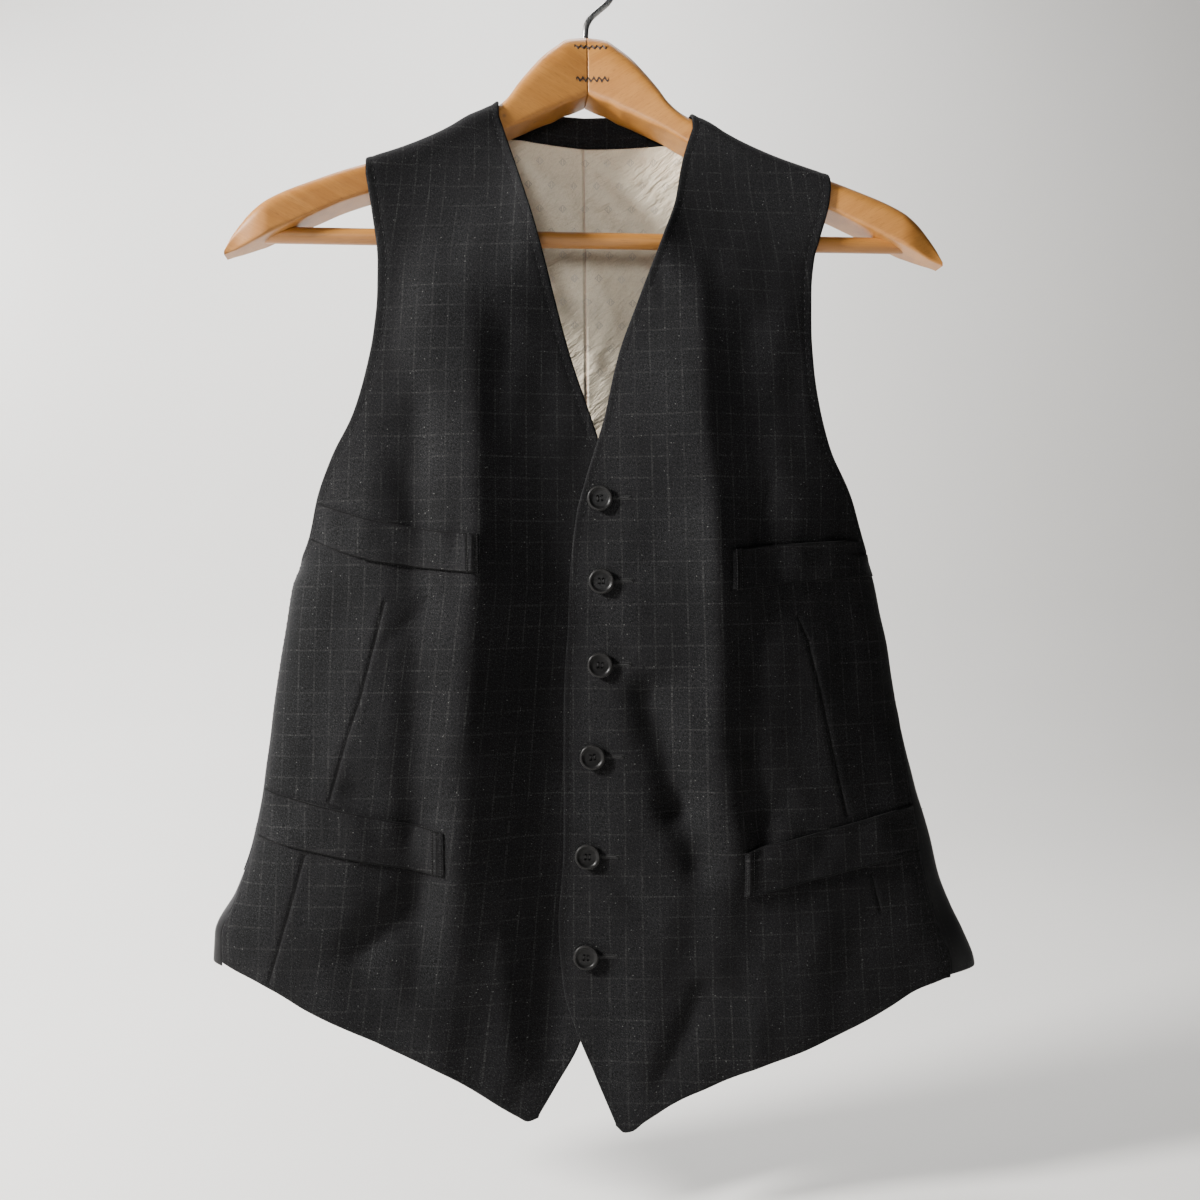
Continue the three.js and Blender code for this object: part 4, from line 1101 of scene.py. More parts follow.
def stitch_tree():
    """Lays one small thread after another along every line of a mesh."""
    if "Stitches along lines" in bpy.data.node_groups:
        return bpy.data.node_groups["Stitches along lines"]
    tree = bpy.data.node_groups.new("Stitches along lines", "GeometryNodeTree")
    face = tree.interface
    face.new_socket("Lines", in_out="INPUT", socket_type="NodeSocketGeometry")
    for label, value in (("Spacing", 0.005), ("Length", 0.002), ("Width", 0.0004), ("Turn", 0.0),
                         ("Sway", 0.08)):
        socket = face.new_socket(label, in_out="INPUT", socket_type="NodeSocketFloat")
        socket.default_value = value
    face.new_socket("Thread", in_out="INPUT", socket_type="NodeSocketMaterial")
    face.new_socket("Stitches", in_out="OUTPUT", socket_type="NodeSocketGeometry")
    nodes, links = tree.nodes, tree.links
    given = nodes.new("NodeGroupInput").outputs

    def add(kind, links_in=(), **settings):
        made = nodes.new(kind)
        for name, value in settings.items():
            setattr(made, name, value)
        for name, source in links_in:
            if isinstance(source, bpy.types.NodeSocket):
                links.new(source, made.inputs[name])
            else:
                made.inputs[name].default_value = source
        return made

    lines = add("GeometryNodeMeshToCurve", [("Mesh", given["Lines"])])
    spots = add("GeometryNodeResampleCurve", [("Curve", lines.outputs[0]), ("Length", given["Spacing"])],
                mode="LENGTH")
    outward = add("GeometryNodeInputNamedAttribute", [("Name", "outward")], data_type="FLOAT_VECTOR")
    upright = add("FunctionNodeAlignRotationToVector", [("Vector", outward.outputs[0])], axis="Z")
    tangent = add("GeometryNodeInputTangent")
    along = add("FunctionNodeAlignRotationToVector",
                [("Rotation", upright.outputs[0]), ("Vector", tangent.outputs[0])],
                axis="X", pivot_axis="Z")
    sway = add("ShaderNodeMath", [(0, given["Sway"]), (1, -1.0)], operation="MULTIPLY")
    chance = add("FunctionNodeRandomValue",
                 [(2, sway.outputs[0]), (3, given["Sway"]), ("Seed", 11)], data_type="FLOAT")
    total = add("ShaderNodeMath", [(0, given["Turn"]), (1, chance.outputs[1])], operation="ADD")
    spin = add("FunctionNodeAxisAngleToRotation", [("Axis", (0, 0, 1)), ("Angle", total.outputs[0])])
    turned = add("FunctionNodeRotateRotation",
                 [("Rotation", along.outputs[0]), ("Rotate By", spin.outputs[0])], rotation_space="LOCAL")
    grain = add("GeometryNodeMeshUVSphere", [("Segments", 6), ("Rings", 5), ("Radius", 0.5)])
    soft = add("GeometryNodeSetShadeSmooth", [("Geometry", grain.outputs[0])])
    size = add("ShaderNodeCombineXYZ", [("X", given["Length"]), ("Y", given["Width"]),
                                        ("Z", given["Width"])])
    laid = add("GeometryNodeInstanceOnPoints",
               [("Points", spots.outputs[0]), ("Instance", soft.outputs[0]),
                ("Rotation", turned.outputs[0]), ("Scale", size.outputs[0])])
    real = add("GeometryNodeRealizeInstances", [("Geometry", laid.outputs[0])])
    painted = add("GeometryNodeSetMaterial",
                  [("Geometry", real.outputs[0]), ("Material", given["Thread"])])
    leave = nodes.new("NodeGroupOutput")
    links.new(painted.outputs[0], leave.inputs[0])
    return tree


def stitches(name, lines, material, spacing, length, width, turn=0.0, sway=0.08):
    """A piece of stitches along lines of (points, normals) in millimetres."""
    points = np.concatenate([line[0] for line in lines]) * MM
    normals = np.concatenate([line[1] for line in lines])
    edges, start = [], 0
    for line, _ in lines:
        edges += [(start + k, start + k + 1) for k in range(len(line) - 1)]
        start += len(line)
    mesh = bpy.data.meshes.new(name + "_lines")
    mesh.from_pydata(points.tolist(), edges, [])
    layer = mesh.attributes.new("outward", "FLOAT_VECTOR", "POINT")
    layer.data.foreach_set("vector", normals.astype(np.float32).ravel())
    holder = put(name + "_lines", mesh)
    modifier = holder.modifiers.new("Stitches", "NODES")
    modifier.node_group = stitch_tree()
    values = {"Spacing": spacing * MM, "Length": length * MM, "Width": width * MM, "Turn": turn,
              "Sway": sway, "Thread": material}
    for item in modifier.node_group.interface.items_tree:
        if item.in_out == "INPUT" and item.name in values:
            modifier[item.identifier] = values[item.name]
    holder.update_tag()
    add_piece(name, evaluated(name, holder), material)


def resampled(points, count):
    """The same line through evenly spaced points."""
    run = run_along(points)
    goal = np.linspace(0, run[-1], count)
    return np.stack([np.interp(goal, run, points[:, k]) for k in range(3)], -1)


def inset_line(panel, edge, inset, out, trim=(0, 0)):
    """Line at one distance inside an edge of a panel: 'a', 'b' or 'low'."""
    points, normals = panel.points, panel.normals
    if edge == "b":
        points, normals = points[::-1], normals[::-1]
    if edge == "low":
        points, normals = points.transpose(1, 0, 2), normals.transpose(1, 0, 2)
    run = run_along(points)

    def inside(grid):
        return np.array([[np.interp(inset, run[:, k], grid[:, k, d]) for d in range(3)]
                         for k in range(grid.shape[1])])

    found, facing = inside(points), unit(inside(normals))
    length = run_along(found)
    keep = (length >= trim[0]) & (length <= length[-1] - trim[1])
    found, facing = found[keep], facing[keep]
    lift = panel.lift
    if not np.isscalar(lift):
        distance = {"a": float(inset), "b": OVERLAP["gone"],
                    "low": np.linalg.norm(found - found[0], axis=1)}[edge]
        lift = over_lift(distance, found[:, 2])[:, None]
    return found + facing * (lift + out), facing


# Pieces of the waistcoat

def flat_lean(side, across, x, z):
    """How far the check's upright lines lean on a front, as the cloth is cut and darted."""
    below = np.maximum(-400 - z, 0)
    flare = np.interp(z, [-740, -420, -270, -100], [1.1 if side == RIGHT else 1.04, 1, 0.97, 0.85])
    inner = np.interp(z, [-640, -545, -405, -400], [183, 152, 120, 118])
    inside = np.abs(x) < inner
    lean = (0.055 + 0.05 * smooth(np.abs(x) / 110)) if side == LEFT else 0.0
    return across / flare + lean * below * inside


def make_front(name, side):
    """One front: a shell with rounded edges, its darts pressed in and its check on the grain."""
    shares = spaced(126, EDGE_ROWS, 215.0)
    heights = spaced(262, EDGE_ROWS, 560.0)[:-1]
    panel = Panel(
        FRONT, lambda z: turn_at(front_edge[side](z), z), lambda z: outer_turn(side, FRONT, z),
        hem[side], lambda x: wrap_start(FRONT, x), shares, heights, 12, 0, SEAM_TOUCH,
        CREASES)
    points, normals = panel.points, panel.normals
    distance = panel.edge_distance()
    run = np.linalg.norm(points - points[:1], axis=2)
    lift = over_lift(run, points[..., 2]) if side == RIGHT else np.zeros(run.shape)
    panel.lift = 0.0 if side == LEFT else lift
    half = rounded(distance, FRONT_CLOTH)
    roll = -0.22 * bell(distance - PICK_INSET, 1.6)
    dart = dart_distance(side, points[..., 0], points[..., 2])
    puff = 0.16 * bell(np.abs(dart) - 3.2, 2.4) - 0.6 * bell(dart, 0.9)
    outer = points + normals * (lift + half + roll + puff)[..., None]
    inner = points + normals * (lift - half)[..., None]
    across = flat_lean(side, panel.across, points[..., 0], points[..., 2])
    mesh = shell(name + "_cloth", outer, inner, across, panel.along, seam=dart, edge=distance)
    add_cloth(name, mesh, wool_suiting(True))
    panels[name] = panel


def make_back(name, side):
    """One half of the satin back, from the centre seam round to the side seam."""
    shares = spaced(96, EDGE_ROWS, 240.0)
    heights = spaced(200, EDGE_ROWS, 480.0)[:-1]
    panel = Panel(
        BACK, lambda z: turn_at(side * 0.01, z), lambda z: outer_turn(side, BACK, z), back_hem,
        lambda x: wrap_start(BACK, x), shares, heights, 10, SEAM_TOUCH, SEAM_TOUCH,
        CREASES)
    distance = panel.edge_distance()
    half = rounded(distance, BACK_CLOTH)
    panel.lift = 0.0
    outer = panel.points + panel.normals * half[..., None]
    inner = panel.points - panel.normals * half[..., None]
    mesh = shell(name + "_cloth", outer, inner, panel.across, panel.along,
                 seam=np.full(distance.shape, NO_SEAM), edge=distance)
    add_cloth(name, mesh, back_satin())
    panels[name] = panel


def make_lining():
    """The cream lining inside the back, with its centre seam and wrinkles."""
    shares = spaced(120, (0.4, 1.0), 380.0)
    heights = spaced(150, (0.4, 1.0), 480.0)
    limit = math.radians(LINING["turn"])
    panel = Panel(
        BACK, lambda z: np.maximum(outer_turn(LEFT, BACK, z), -limit),
        lambda z: np.minimum(outer_turn(RIGHT, BACK, z), limit),
        lambda x: back_hem(x) + LINING["hem"],
        lambda x: np.minimum(LINING["top"] - neck_sag(x), wrap_start(BACK, x) - 4), shares, heights, 0,
        LINING["inset"], LINING["inset"], None)
    x, z = panel.points[..., 0], panel.points[..., 2]
    distance = panel.edge_distance()
    middle = -(BACK_CLOTH + LINING_CLOTH) / 2 - LINING["gap"]
    fade = smooth(distance / 8)
    wrinkle = 1.7 * fold_rise(LINING_CREASES, BACK, x, z)
    wrinkle = (wrinkle + 0.5 * ripple(x * 1.4, z * 1.4, LINING_RIPPLES)) * fade
    half = rounded(distance, LINING_CLOTH, 0.5)
    panel.lift = middle
    outer = panel.points + panel.normals * (middle - 0.3 * wrinkle + half)[..., None]
    inner = panel.points + panel.normals * (middle - wrinkle - half)[..., None]
    mesh = shell("back_lining_cloth", outer, inner, panel.across, panel.along,
                 seam=x + 0.6, edge=distance)
    add_cloth("back_lining", mesh, figured_lining())
    panels["back_lining"] = panel


def make_neck_band():
    """The dark facing of the back neck, above the lining."""
    x = np.linspace(-BAND["half"], BAND["half"], 60)[:, None]
    y = arm_y(x) + WRAP["back"]
    bottom = BAND["bottom"] - neck_sag(x)
    low = lerp(bottom, NECK["base"], np.linspace(0, 1, 6)[None, :])
    low = np.stack(np.broadcast_arrays(x, y, low), -1)
    over = over_arm(BACK, x, np.linspace(0.08, 1, 12)[None, :])
    points = np.concatenate([low, over], 1)
    normals = grid_normals(points, BACK)
    along = run_along(points, 1) + BAND["bottom"]
    distance = np.minimum(along - along[:, :1], along[:, -1:] - along)
    middle = -(BACK_CLOTH + BAND_CLOTH) / 2 - SEAM_GAP
    half = rounded(distance, BAND_CLOTH, 0.4)
    outer = points + normals * (middle + half)[..., None]
    inner = points + normals * (middle - half)[..., None]
    across = np.broadcast_to(x, along.shape)
    mesh = shell("back_neck_band_cloth", outer, inner, across, along,
                 seam=np.full(along.shape, NO_SEAM), edge=distance)
    add_cloth("back_neck_band", mesh, wool_suiting(False))


def welt_points(welt, along, up):
    """Middle points of a welt by its shares along and up."""
    top = lerp(welt["top_in"], welt["top_out"], along) - welt["sag"] * np.sin(np.pi * along)
    low = lerp(welt["low_in"], welt["low_out"], along) - welt["sag"] * np.sin(np.pi * along)
    z = lerp(low, top, up)
    start = turn_at(np.full(z.shape, float(welt["x"])), z)
    stop = outer_turn(welt["side"], FRONT, z)
    shares = np.linspace(0, 1, 41)
    line = wall(FRONT, lerp(start[..., None], stop[..., None], shares), z[..., None])
    run = run_along(line, 2)
    goal = (run[..., -1] - welt["inset"]) * along
    place = np.empty(z.shape)
    for spot in np.ndindex(z.shape):
        place[spot] = np.interp(goal[spot], run[spot], shares)
    return wall(FRONT, lerp(start, stop, place), z, CREASES), goal, z


def make_welt(welt):
    """One pocket welt with its stitched end strip and the ripples of its loose top edge."""
    shares = np.unique(np.concatenate([
        np.array([0, 0.35, 0.9, 1.8, 3.0, 4.2, 5.0, 5.5, 5.9, 6.3, 7.0]) / 110,
        np.linspace(7.8 / 110, 0.985, 70), [0.992, 0.997, 1]]))
    ups = spaced(20, (0.35, 0.9), 25.0)
    along, up = np.meshgrid(shares, ups, indexing="ij")
    points, run, z = welt_points(welt, along, up)
    normals = grid_normals(points, FRONT)
    gap = lerp(LAY_GAP, welt["gap"], along)
    length = run.max()
    height = abs(welt["top_in"] - welt["low_in"])
    distance = np.minimum(np.minimum(run, length - run), np.minimum(up, 1 - up) * height)
    flat = -1.1 * (1 - smooth(run / WELT_STRIP)) - 0.5 * bell(run - WELT_GROOVES[1], 0.45)
    wave = 0.85 * np.sin(run / 5.5 + welt["x"]) * np.sin(run / 13 + 1) * smooth((up - 0.1) / 0.6)
    wave = wave * smooth((run - 8) / 8) + 0.35 * smooth((up - 0.8) / 0.2) * smooth((run - 8) / 10)
    half = rounded(distance, WELT_CLOTH, 0.25)
    lift = (FRONT_CLOTH + WELT_CLOTH) / 2 + gap
    press = np.minimum(gap, LAY_GAP) * 0.6 * (1 - smooth(run / WELT_STRIP))
    out_end = smooth((along - 0.82) / 0.16)
    outer = points + normals * (lift + half + flat + wave - (gap + WELT_CLOTH - 0.7) * out_end)[..., None]
    inner = points + normals * (lift - half - press - (gap - 0.15) * out_end)[..., None]
    name = welt["name"]
    across = flat_lean(welt["side"], points[..., 0], points[..., 0], z)
    # The seam mark is 0 on the welt's top and bottom edges, which gives a near-black line there that is
    # painted shadow. At the end strip's grooves it marks stitched seams.
    edges = np.minimum(up, 1 - up) * height * 0.5
    for groove in WELT_GROOVES:
        edges = np.minimum(edges, np.abs(run - groove) * 0.7)
    mesh = shell(name + "_cloth", outer, inner, across, z + 4, seam=edges, edge=distance)
    add_cloth(name, mesh, wool_suiting(True))
    top = lift[0, 0] + WELT_CLOTH / 2
    ends = []
    for place in (1.4, WELT_GROOVES[1]):
        k = np.abs(run[:, 0] - place).argmin()
        ends.append((points[k, 1:-1] + normals[k, 1:-1] * (top + 0.05), normals[k, 1:-1]))
    return ends


def button_mesh():
    """Rimmed four-hole button, its back on the plane z = 0, in millimetres."""
    radius = BUTTON_DIAMETER / 2
    well = BUTTON_HEIGHT - BUTTON_WELL
    profile = [(0.001, 0), (radius - 1.9, 0), (radius - 1.2, 0.25), (radius - 0.5, 0.8),
               (radius - 0.08, 1.5), (radius, 1.9), (radius - 0.1, 2.4), (radius - 0.4, 2.78),
               (radius - 0.85, 2.96), (radius - 1.25, 2.98), (radius - 1.7, 2.8),
               (radius - 2.1, well + 0.4), (radius - 2.5, well + 0.1), (radius - 3.1, well),
               (3.2, well + 0.02), (0.001, well - 0.12)]
    count = 56
    angles = np.linspace(0, 2 * np.pi, count, endpoint=False)
    points = [(r * math.cos(a), r * math.sin(a), h) for r, h in profile for a in angles]
    mesh = bpy.data.meshes.new("button_form")
    mesh.from_pydata(points, [], ring_faces(count, len(profile), False))
    weld(mesh, 0.005)
    blank = put("button_form", mesh)
    cutters = []
    for sx, sy in ((1, 1), (1, -1), (-1, 1), (-1, -1)):
        ring = [(sx * BUTTON_HOLE_PLACE + BUTTON_HOLE * math.cos(a),
                 sy * BUTTON_HOLE_PLACE + BUTTON_HOLE * math.sin(a)) for a in angles[::3]]
        hole = bpy.data.meshes.new("hole")
        hole.from_pydata([(x, y, z) for z in (-1, 6) for x, y in ring], [], ring_faces(len(ring), 2))
        cutters.append(put("hole", hole))
        cut = blank.modifiers.new("Hole", "BOOLEAN")
        cut.operation, cut.object, cut.solver = "DIFFERENCE", cutters[-1], "EXACT"
    return evaluated("button_form", blank, *cutters)


def vertices(mesh):
    co = np.empty(len(mesh.vertices) * 3, np.float64)
    mesh.vertices.foreach_get("co", co)
    return co.reshape(-1, 3)


def button_frames():
    """Place and turn of each button: its back, and its own right and up."""
    for k, (x, z) in enumerate(BUTTONS):
        place, normal = front_place(x, z, FRONT_CLOTH / 2)
        facing = unit(normal * (0.6, 1, 0.6))
        back = place + normal * BUTTON_STAND
        right = np.cross([0, 0, 1.0], -facing)
        right /= -np.linalg.norm(right)
        up = np.cross(facing, right)
        tilt = 0.12 * math.sin(2.3 * k + 0.7)
        right, up = (right * math.cos(tilt) + up * math.sin(tilt),
                     up * math.cos(tilt) - right * math.sin(tilt))
        yield k + 1, back, np.stack([right, up, facing])


def make_buttons():
    """Six four-hole buttons with their sewing threads and shanks."""
    form = button_mesh()
    base = vertices(form)
    radial = np.hypot(base[:, 0], base[:, 1])
    rim = bell(radial - BUTTON_DIAMETER / 2 + 0.75, 0.42) * (base[:, 2] > 2)
    for number, back, axes in button_frames():
        mesh = form.copy()
        name = f"button_{number}"
        mesh.name = name + "_horn"
        mesh.vertices.foreach_set("co", ((base @ axes + back) * MM).ravel())
        layer = mesh.attributes.new("edge", "FLOAT", "POINT")
        layer.data.foreach_set("value", rim.astype(np.float32))
        shade(mesh, 38)
        add_piece(name + "_horn", mesh, button_horn(), [name])
        lines = []
        for side in (-1, 1):
            y = np.linspace(-BUTTON_HOLE_PLACE, BUTTON_HOLE_PLACE, 7)
            rise = 1.95 + 0.2 * np.cos(y / BUTTON_HOLE_PLACE * np.pi / 2)
            local = np.stack([np.full(7, side * (BUTTON_HOLE_PLACE + 0.1)), y, rise], -1)
            lines.append(local @ axes + back)
        tube(name + "_thread", lines, 0.2, thread("Dark thread"))
        shank = np.array([[0, 0, -BUTTON_STAND - 0.2], [0, 0, 0.3]]) @ axes + back
        tube(name + "_shank", [shank], 1.5, thread("Dark thread"))


def tube(name, lines, radius, material, nodes=(), resolution=3):
    """A round thread or wire through each line of points."""
    path = bpy.data.curves.new(name, "CURVE")
    path.dimensions = "3D"
    path.bevel_depth = radius * MM
    path.bevel_resolution = resolution
    path.use_fill_caps = True
    for line in lines:
        spline = path.splines.new("POLY")
        spline.points.add(len(line) - 1)
        for point, place in zip(spline.points, np.asarray(line) * MM):
            point.co = (*place, 1)
    mesh = evaluated(name, put(name, path))
    weld(mesh, 1e-6)
    mesh.shade_smooth()
    add_piece(name, mesh, material, nodes)


def buttonhole_line(x, z):
    """Outline of one keyhole buttonhole, from under the button to its bar."""
    length = bpy.context.scene.waistcoat_trim.hole_length / MM
    start, stop = x - HOLE_START, x - HOLE_START + length
    upper = [(lerp(start, stop, t), z + HOLE_HALF) for t in np.linspace(0, 1, 15)]
    lower = [(px, z - HOLE_HALF) for px, _ in upper[::-1]]
    line = np.array(upper + [(stop + 0.35, z)] + lower)
    return front_place(line[:, 0], line[:, 1], FRONT_CLOTH / 2 + 0.12)


def make_buttonholes():
    """Keyhole buttonholes: close stitches round a slit, with a bar at the inner end. The slit's shade is
    painted as a dark thread laid along it.
    """
    length = bpy.context.scene.waistcoat_trim.hole_length / MM
    lines = [buttonhole_line(x + 1.0, z) for x, z in BUTTONS]
    stitches("buttonhole_stitches", lines, thread("Light thread"), 0.5, 1.3, 0.3,
             math.pi / 2, 0.12)
    # Dark thread along each slit: painted shade in the cut.
    slit_shades = []
    for x, z in BUTTONS:
        run = np.linspace(x - 0.5, x - 0.5 + length, 15)
        slit_shades.append(front_place(run, np.full(15, float(z)), FRONT_CLOTH / 2 + 0.02)[0])
    tube("buttonhole_slit_shades", slit_shades, SLIT_SHADE_RADIUS, thread("Dark thread"), (), 1)


def make_stitches(welt_ends):
    """Pick stitches inside the edges of the fronts and backs, and at the pocket ends."""
    spacing = bpy.context.scene.waistcoat_cloth.stitch_spacing / MM
    edges = (("a", PICK_INSET, 6), ("b", PICK_INSET, 6), ("low", HEM_INSET, 8))
    lines = [inset_line(panels[name], edge, inset, FRONT_CLOTH / 2 - 0.12, (8, end))
             for name in ("front_left", "front_right") for edge, inset, end in edges]
    stitches("pick_stitches", lines, thread("Dark thread"), spacing, 1.7, 0.42)
    lines = [inset_line(panels[name], edge, BACK_INSET, BACK_CLOTH / 2 - 0.08, (8, 6))
             for name in ("back_left", "back_right") for edge in ("b", "low")]
    stitches("back_edge_stitches", lines, thread("Dark thread"), 3.2, 1.8, 0.32)
    stitches("pocket_end_stitches", welt_ends, thread("Pocket thread"), 1.5, 1.15, 0.36)


def make_lining_stitches():
    """Small slip stitches where the lining's top meets the neck band."""
    panel = panels["back_lining"]
    top, normals = panel.points[:, -2], panel.normals[:, -2]
    keep = np.abs(top[:, 0]) < 41
    inside = panel.lift - LINING_CLOTH / 2 - 0.15
    line = (top[keep] + normals[keep] * inside, -normals[keep])
    stitches("lining_stitches", [line], thread("Lining thread"), 1.6, 1.6, 0.5,
             math.pi / 2.4, 0.2)


def strap_shell(name, places, raise_by):
    """A flat ribbon on the back along the waist."""
    places = np.asarray(places, float)[:, None]
    ups = spaced(9, (0.3, 0.8), 22.0)[None, :]
    wide = smooth((np.abs(places) - STRAP["taper"]) / (200 - STRAP["taper"]))
    half = lerp(STRAP["width"], STRAP["seam"], wide) / 2
    z = STRAP["z"] + half * (2 * ups - 1)
    turn = turn_at(np.broadcast_to(places, z.shape), np.full(z.shape, float(STRAP["z"])))
    points = wall(BACK, turn, z)
    normals = grid_normals(points, BACK)
    run = run_along(points)
    distance = np.minimum(np.minimum(run, run[-1:] - run), np.minimum(ups, 1 - ups) * 2 * half)
    half_thick = rounded(distance, STRAP_CLOTH, 0.35)
    raised = raise_by(places)
    outer = points + normals * (raised + half_thick)[..., None]
    inner = points + normals * (raised - half_thick)[..., None]
    mesh = shell(name + "_cloth", outer, inner, z, run + 300, seam=np.full(run.shape, NO_SEAM),
                 edge=distance)
    add_cloth(name, mesh, back_satin())
    lines = []
    for k in (3, -4):
        line = points[:, k] + normals[:, k] * (raised[:, 0] + STRAP_CLOTH / 2)[:, None]
        lines.append((line, normals[:, k]))
    return lines


def make_cinch():
    """The two cinch straps and their slide buckle."""
    first = (BACK_CLOTH + STRAP_CLOTH) / 2 + STRAP["gap"]
    second = first + STRAP_CLOTH + LAY_GAP
    turn = math.radians(STRAP["turn"])
    left_x = float(wall(BACK, -turn, STRAP["z"])[0])
    right_x = float(wall(BACK, turn, STRAP["z"])[0])
    left = np.concatenate([left_x + np.array([0, 0.3, 0.8]), np.linspace(left_x + 2, -150, 20),
                           np.linspace(-148, STRAP["under"] - 1, 70),
                           STRAP["under"] - np.array([0.4, 0])])
    right = np.concatenate([right_x - np.array([0, 0.3, 0.8]), np.linspace(right_x - 2, 150, 20),
                            np.linspace(148, 24, 44), np.linspace(23, -14, 60),
                            np.linspace(-15.5, STRAP["tail"] + 1, 14),
                            STRAP["tail"] + np.array([0.4, 0])])

    def upper(x):
        climb = smooth((STRAP["under"] + 14 - x) / 12)
        over = BUCKLE["lift"] * bell(x - BUCKLE["x"], BUCKLE["bend"])
        return lerp(first, second, climb) + over

    lines = strap_shell("back_strap_left", left, lambda x: np.full(x.shape, first))
    lines += strap_shell("back_strap_right", right, upper)
    stitches("strap_stitches", lines, thread("Dark thread"), 3.0, 2.0, 0.3)
    smooth_copy("back_buckle", steel("Buckle steel"), 0.35)


def smooth_copy(node, material, bevel):
    """A welded copy of a node's solid with its edges eased."""
    name = node + "_eased"
    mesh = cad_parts[node].data.copy()
    weld(mesh)
    piece = put(name, mesh)
    join = piece.modifiers.new("Flat", "DECIMATE")
    join.decimate_type, join.angle_limit = "DISSOLVE", math.radians(2)
    ease = piece.modifiers.new("Eased", "BEVEL")
    ease.width, ease.segments, ease.angle_limit = bevel * MM, 3, math.radians(40)
    made = evaluated(name, piece)
    shade(made, 50)
    add_piece(name, made, material, [node])


# Hanger

def arm_ring(side, x, count):
    """One rounded section of an arm, flatter below."""
    half = hanger_height(x) / 2
    middle = hanger_top(x) - half
    ends = smooth((x - 193) / 26.5)
    depth = lerp(HANGER_DEPTH, HANGER_TIP_DEPTH, ends) / 2
    angle = np.linspace(0, 2 * np.pi, count, endpoint=False)
    s, c = np.sin(angle), np.cos(angle)
    bend = np.where(s >= -1e-9, HANGER_TOP_POWER, HANGER_BASE_POWER)
    y = arm_y(x) + depth * power(c, 2 / bend)
    z = middle + half * power(s, 2 / bend)
    return np.stack([np.full(count, side * x), y, z], -1)


def make_arm(name, side):
    """One arm of the hanger, smooth along its length and round its edges."""
    stations = np.concatenate([[0.15, 0.4, 1.0], np.linspace(2.5, 190, 110),
                               np.linspace(191, 218.4, 28), ARM_TIP - np.array([0.5, 0.2, 0])])
    rings = [arm_ring(side, x, 72) for x in stations]
    rings[0] = rings[1] + (rings[0].mean(0) - rings[1]) * 0.02
    rings[0][:, 0] = side * 0.15
    wood = hanger_wood("left" if side == LEFT else "right")
    add_piece(name + "_wood", ring_mesh(name + "_wood", rings, 55), wood, [name])


def arm_face_y(x, z):
    """Y of the arm's front face."""
    half = hanger_height(abs(x)) / 2
    off = (z - (hanger_top(abs(x)) - half)) / half
    bend = HANGER_TOP_POWER if off > 0 else HANGER_BASE_POWER
    return float(arm_y(x) - HANGER_DEPTH / 2 * (1 - min(abs(off), 0.99) ** bend) ** (1 / bend))


def make_fasteners():
    """Two wavy steel fasteners driven in across the middle joint."""
    for number, (left, right, z) in enumerate(((-8.4, 12.3, -63.5), (-7.6, 13.0, -84.0)), 1):
        x = np.linspace(left, right, 90)
        wave = z + 0.95 * np.sin((x - left) * 2 * np.pi / 3.4) + 0.25 * np.sin(x * 1.9)
        thick = 0.8 + 0.25 * np.sin(x * 2.7 + z)
        face = np.array([arm_face_y(a, b) for a, b in zip(x, wave)])
        corners = [(-0.22, thick), (-0.22, -thick), (1.5, -thick), (1.5, thick)]
        rings = [np.stack([x, face + deep, wave + up], -1) for deep, up in corners]
        name = f"joint_fastener_{number}"
        mesh = ring_mesh(name, np.stack(rings, 1), 60)
        add_piece(name, mesh, steel("Fastener steel"))


def make_bar():
    """The round trouser bar, slightly uneven along its length."""
    angle = np.linspace(0, 2 * np.pi, 40, endpoint=False)
    rings = []
    for x in np.linspace(-BAR_REACH, BAR_REACH, 160):
        radius = BAR_DIAMETER / 2 * (1 - 0.004 * (1 + math.sin(x / 23)))
        rings.append(np.stack([np.full(40, x), BAR_Y + radius * np.cos(angle),
                               BAR_Z + radius * np.sin(angle)], -1))
    mesh = ring_mesh("hanger_bar_wood", rings, 55)
    add_piece("hanger_bar_wood", mesh, hanger_wood("bar"), ["hanger_bar"])


def make_hook():
    """The wire hook: a round bend over the seat and an easy turn back into the stem."""
    centre = HOOK_WIRE / 2 - HOOK_RADIUS
    angles = np.radians(np.arange(205, -46, -5.0))
    arc = [(HOOK_RADIUS * math.cos(a), 0, centre + HOOK_RADIUS * math.sin(a)) for a in angles]
    tail = [(8.2, 0, centre - HOOK_RADIUS + 1.2), (3.5, 0, centre - HOOK_RADIUS - 3),
            (0.9, 0, centre - HOOK_RADIUS - 7.5), (0, 0, centre - HOOK_RADIUS - 12),
            (0, 0, centre - HOOK_RADIUS - 20), (0, 0, HOOK_FOOT)]
    line = resampled(np.array(arc + tail), 140)
    for _ in range(6):
        line[1:-1] = (line[:-2] + 2 * line[1:-1] + line[2:]) / 4
    tube("hanger_hook_wire", [line], HOOK_WIRE / 2, steel("Hook steel"),
         ["hanger_hook"], 5)


# Sizes and colours that a user would change

def tint(name, description, default):
    """A colour that a user may change."""
    return FloatVectorProperty(name=name, description=description, default=default,
                               subtype="COLOR", min=0, max=1)


def length(name, description, default, least=0.0):
    """A length that a user may change, in metres."""
    return FloatProperty(name=name, description=description, default=default, min=least,
                         unit="LENGTH")


def watts(name, description, default):
    """The power of a light that a user may change."""
    return FloatProperty(name=name, description=description + ", in watts", default=default, min=0)


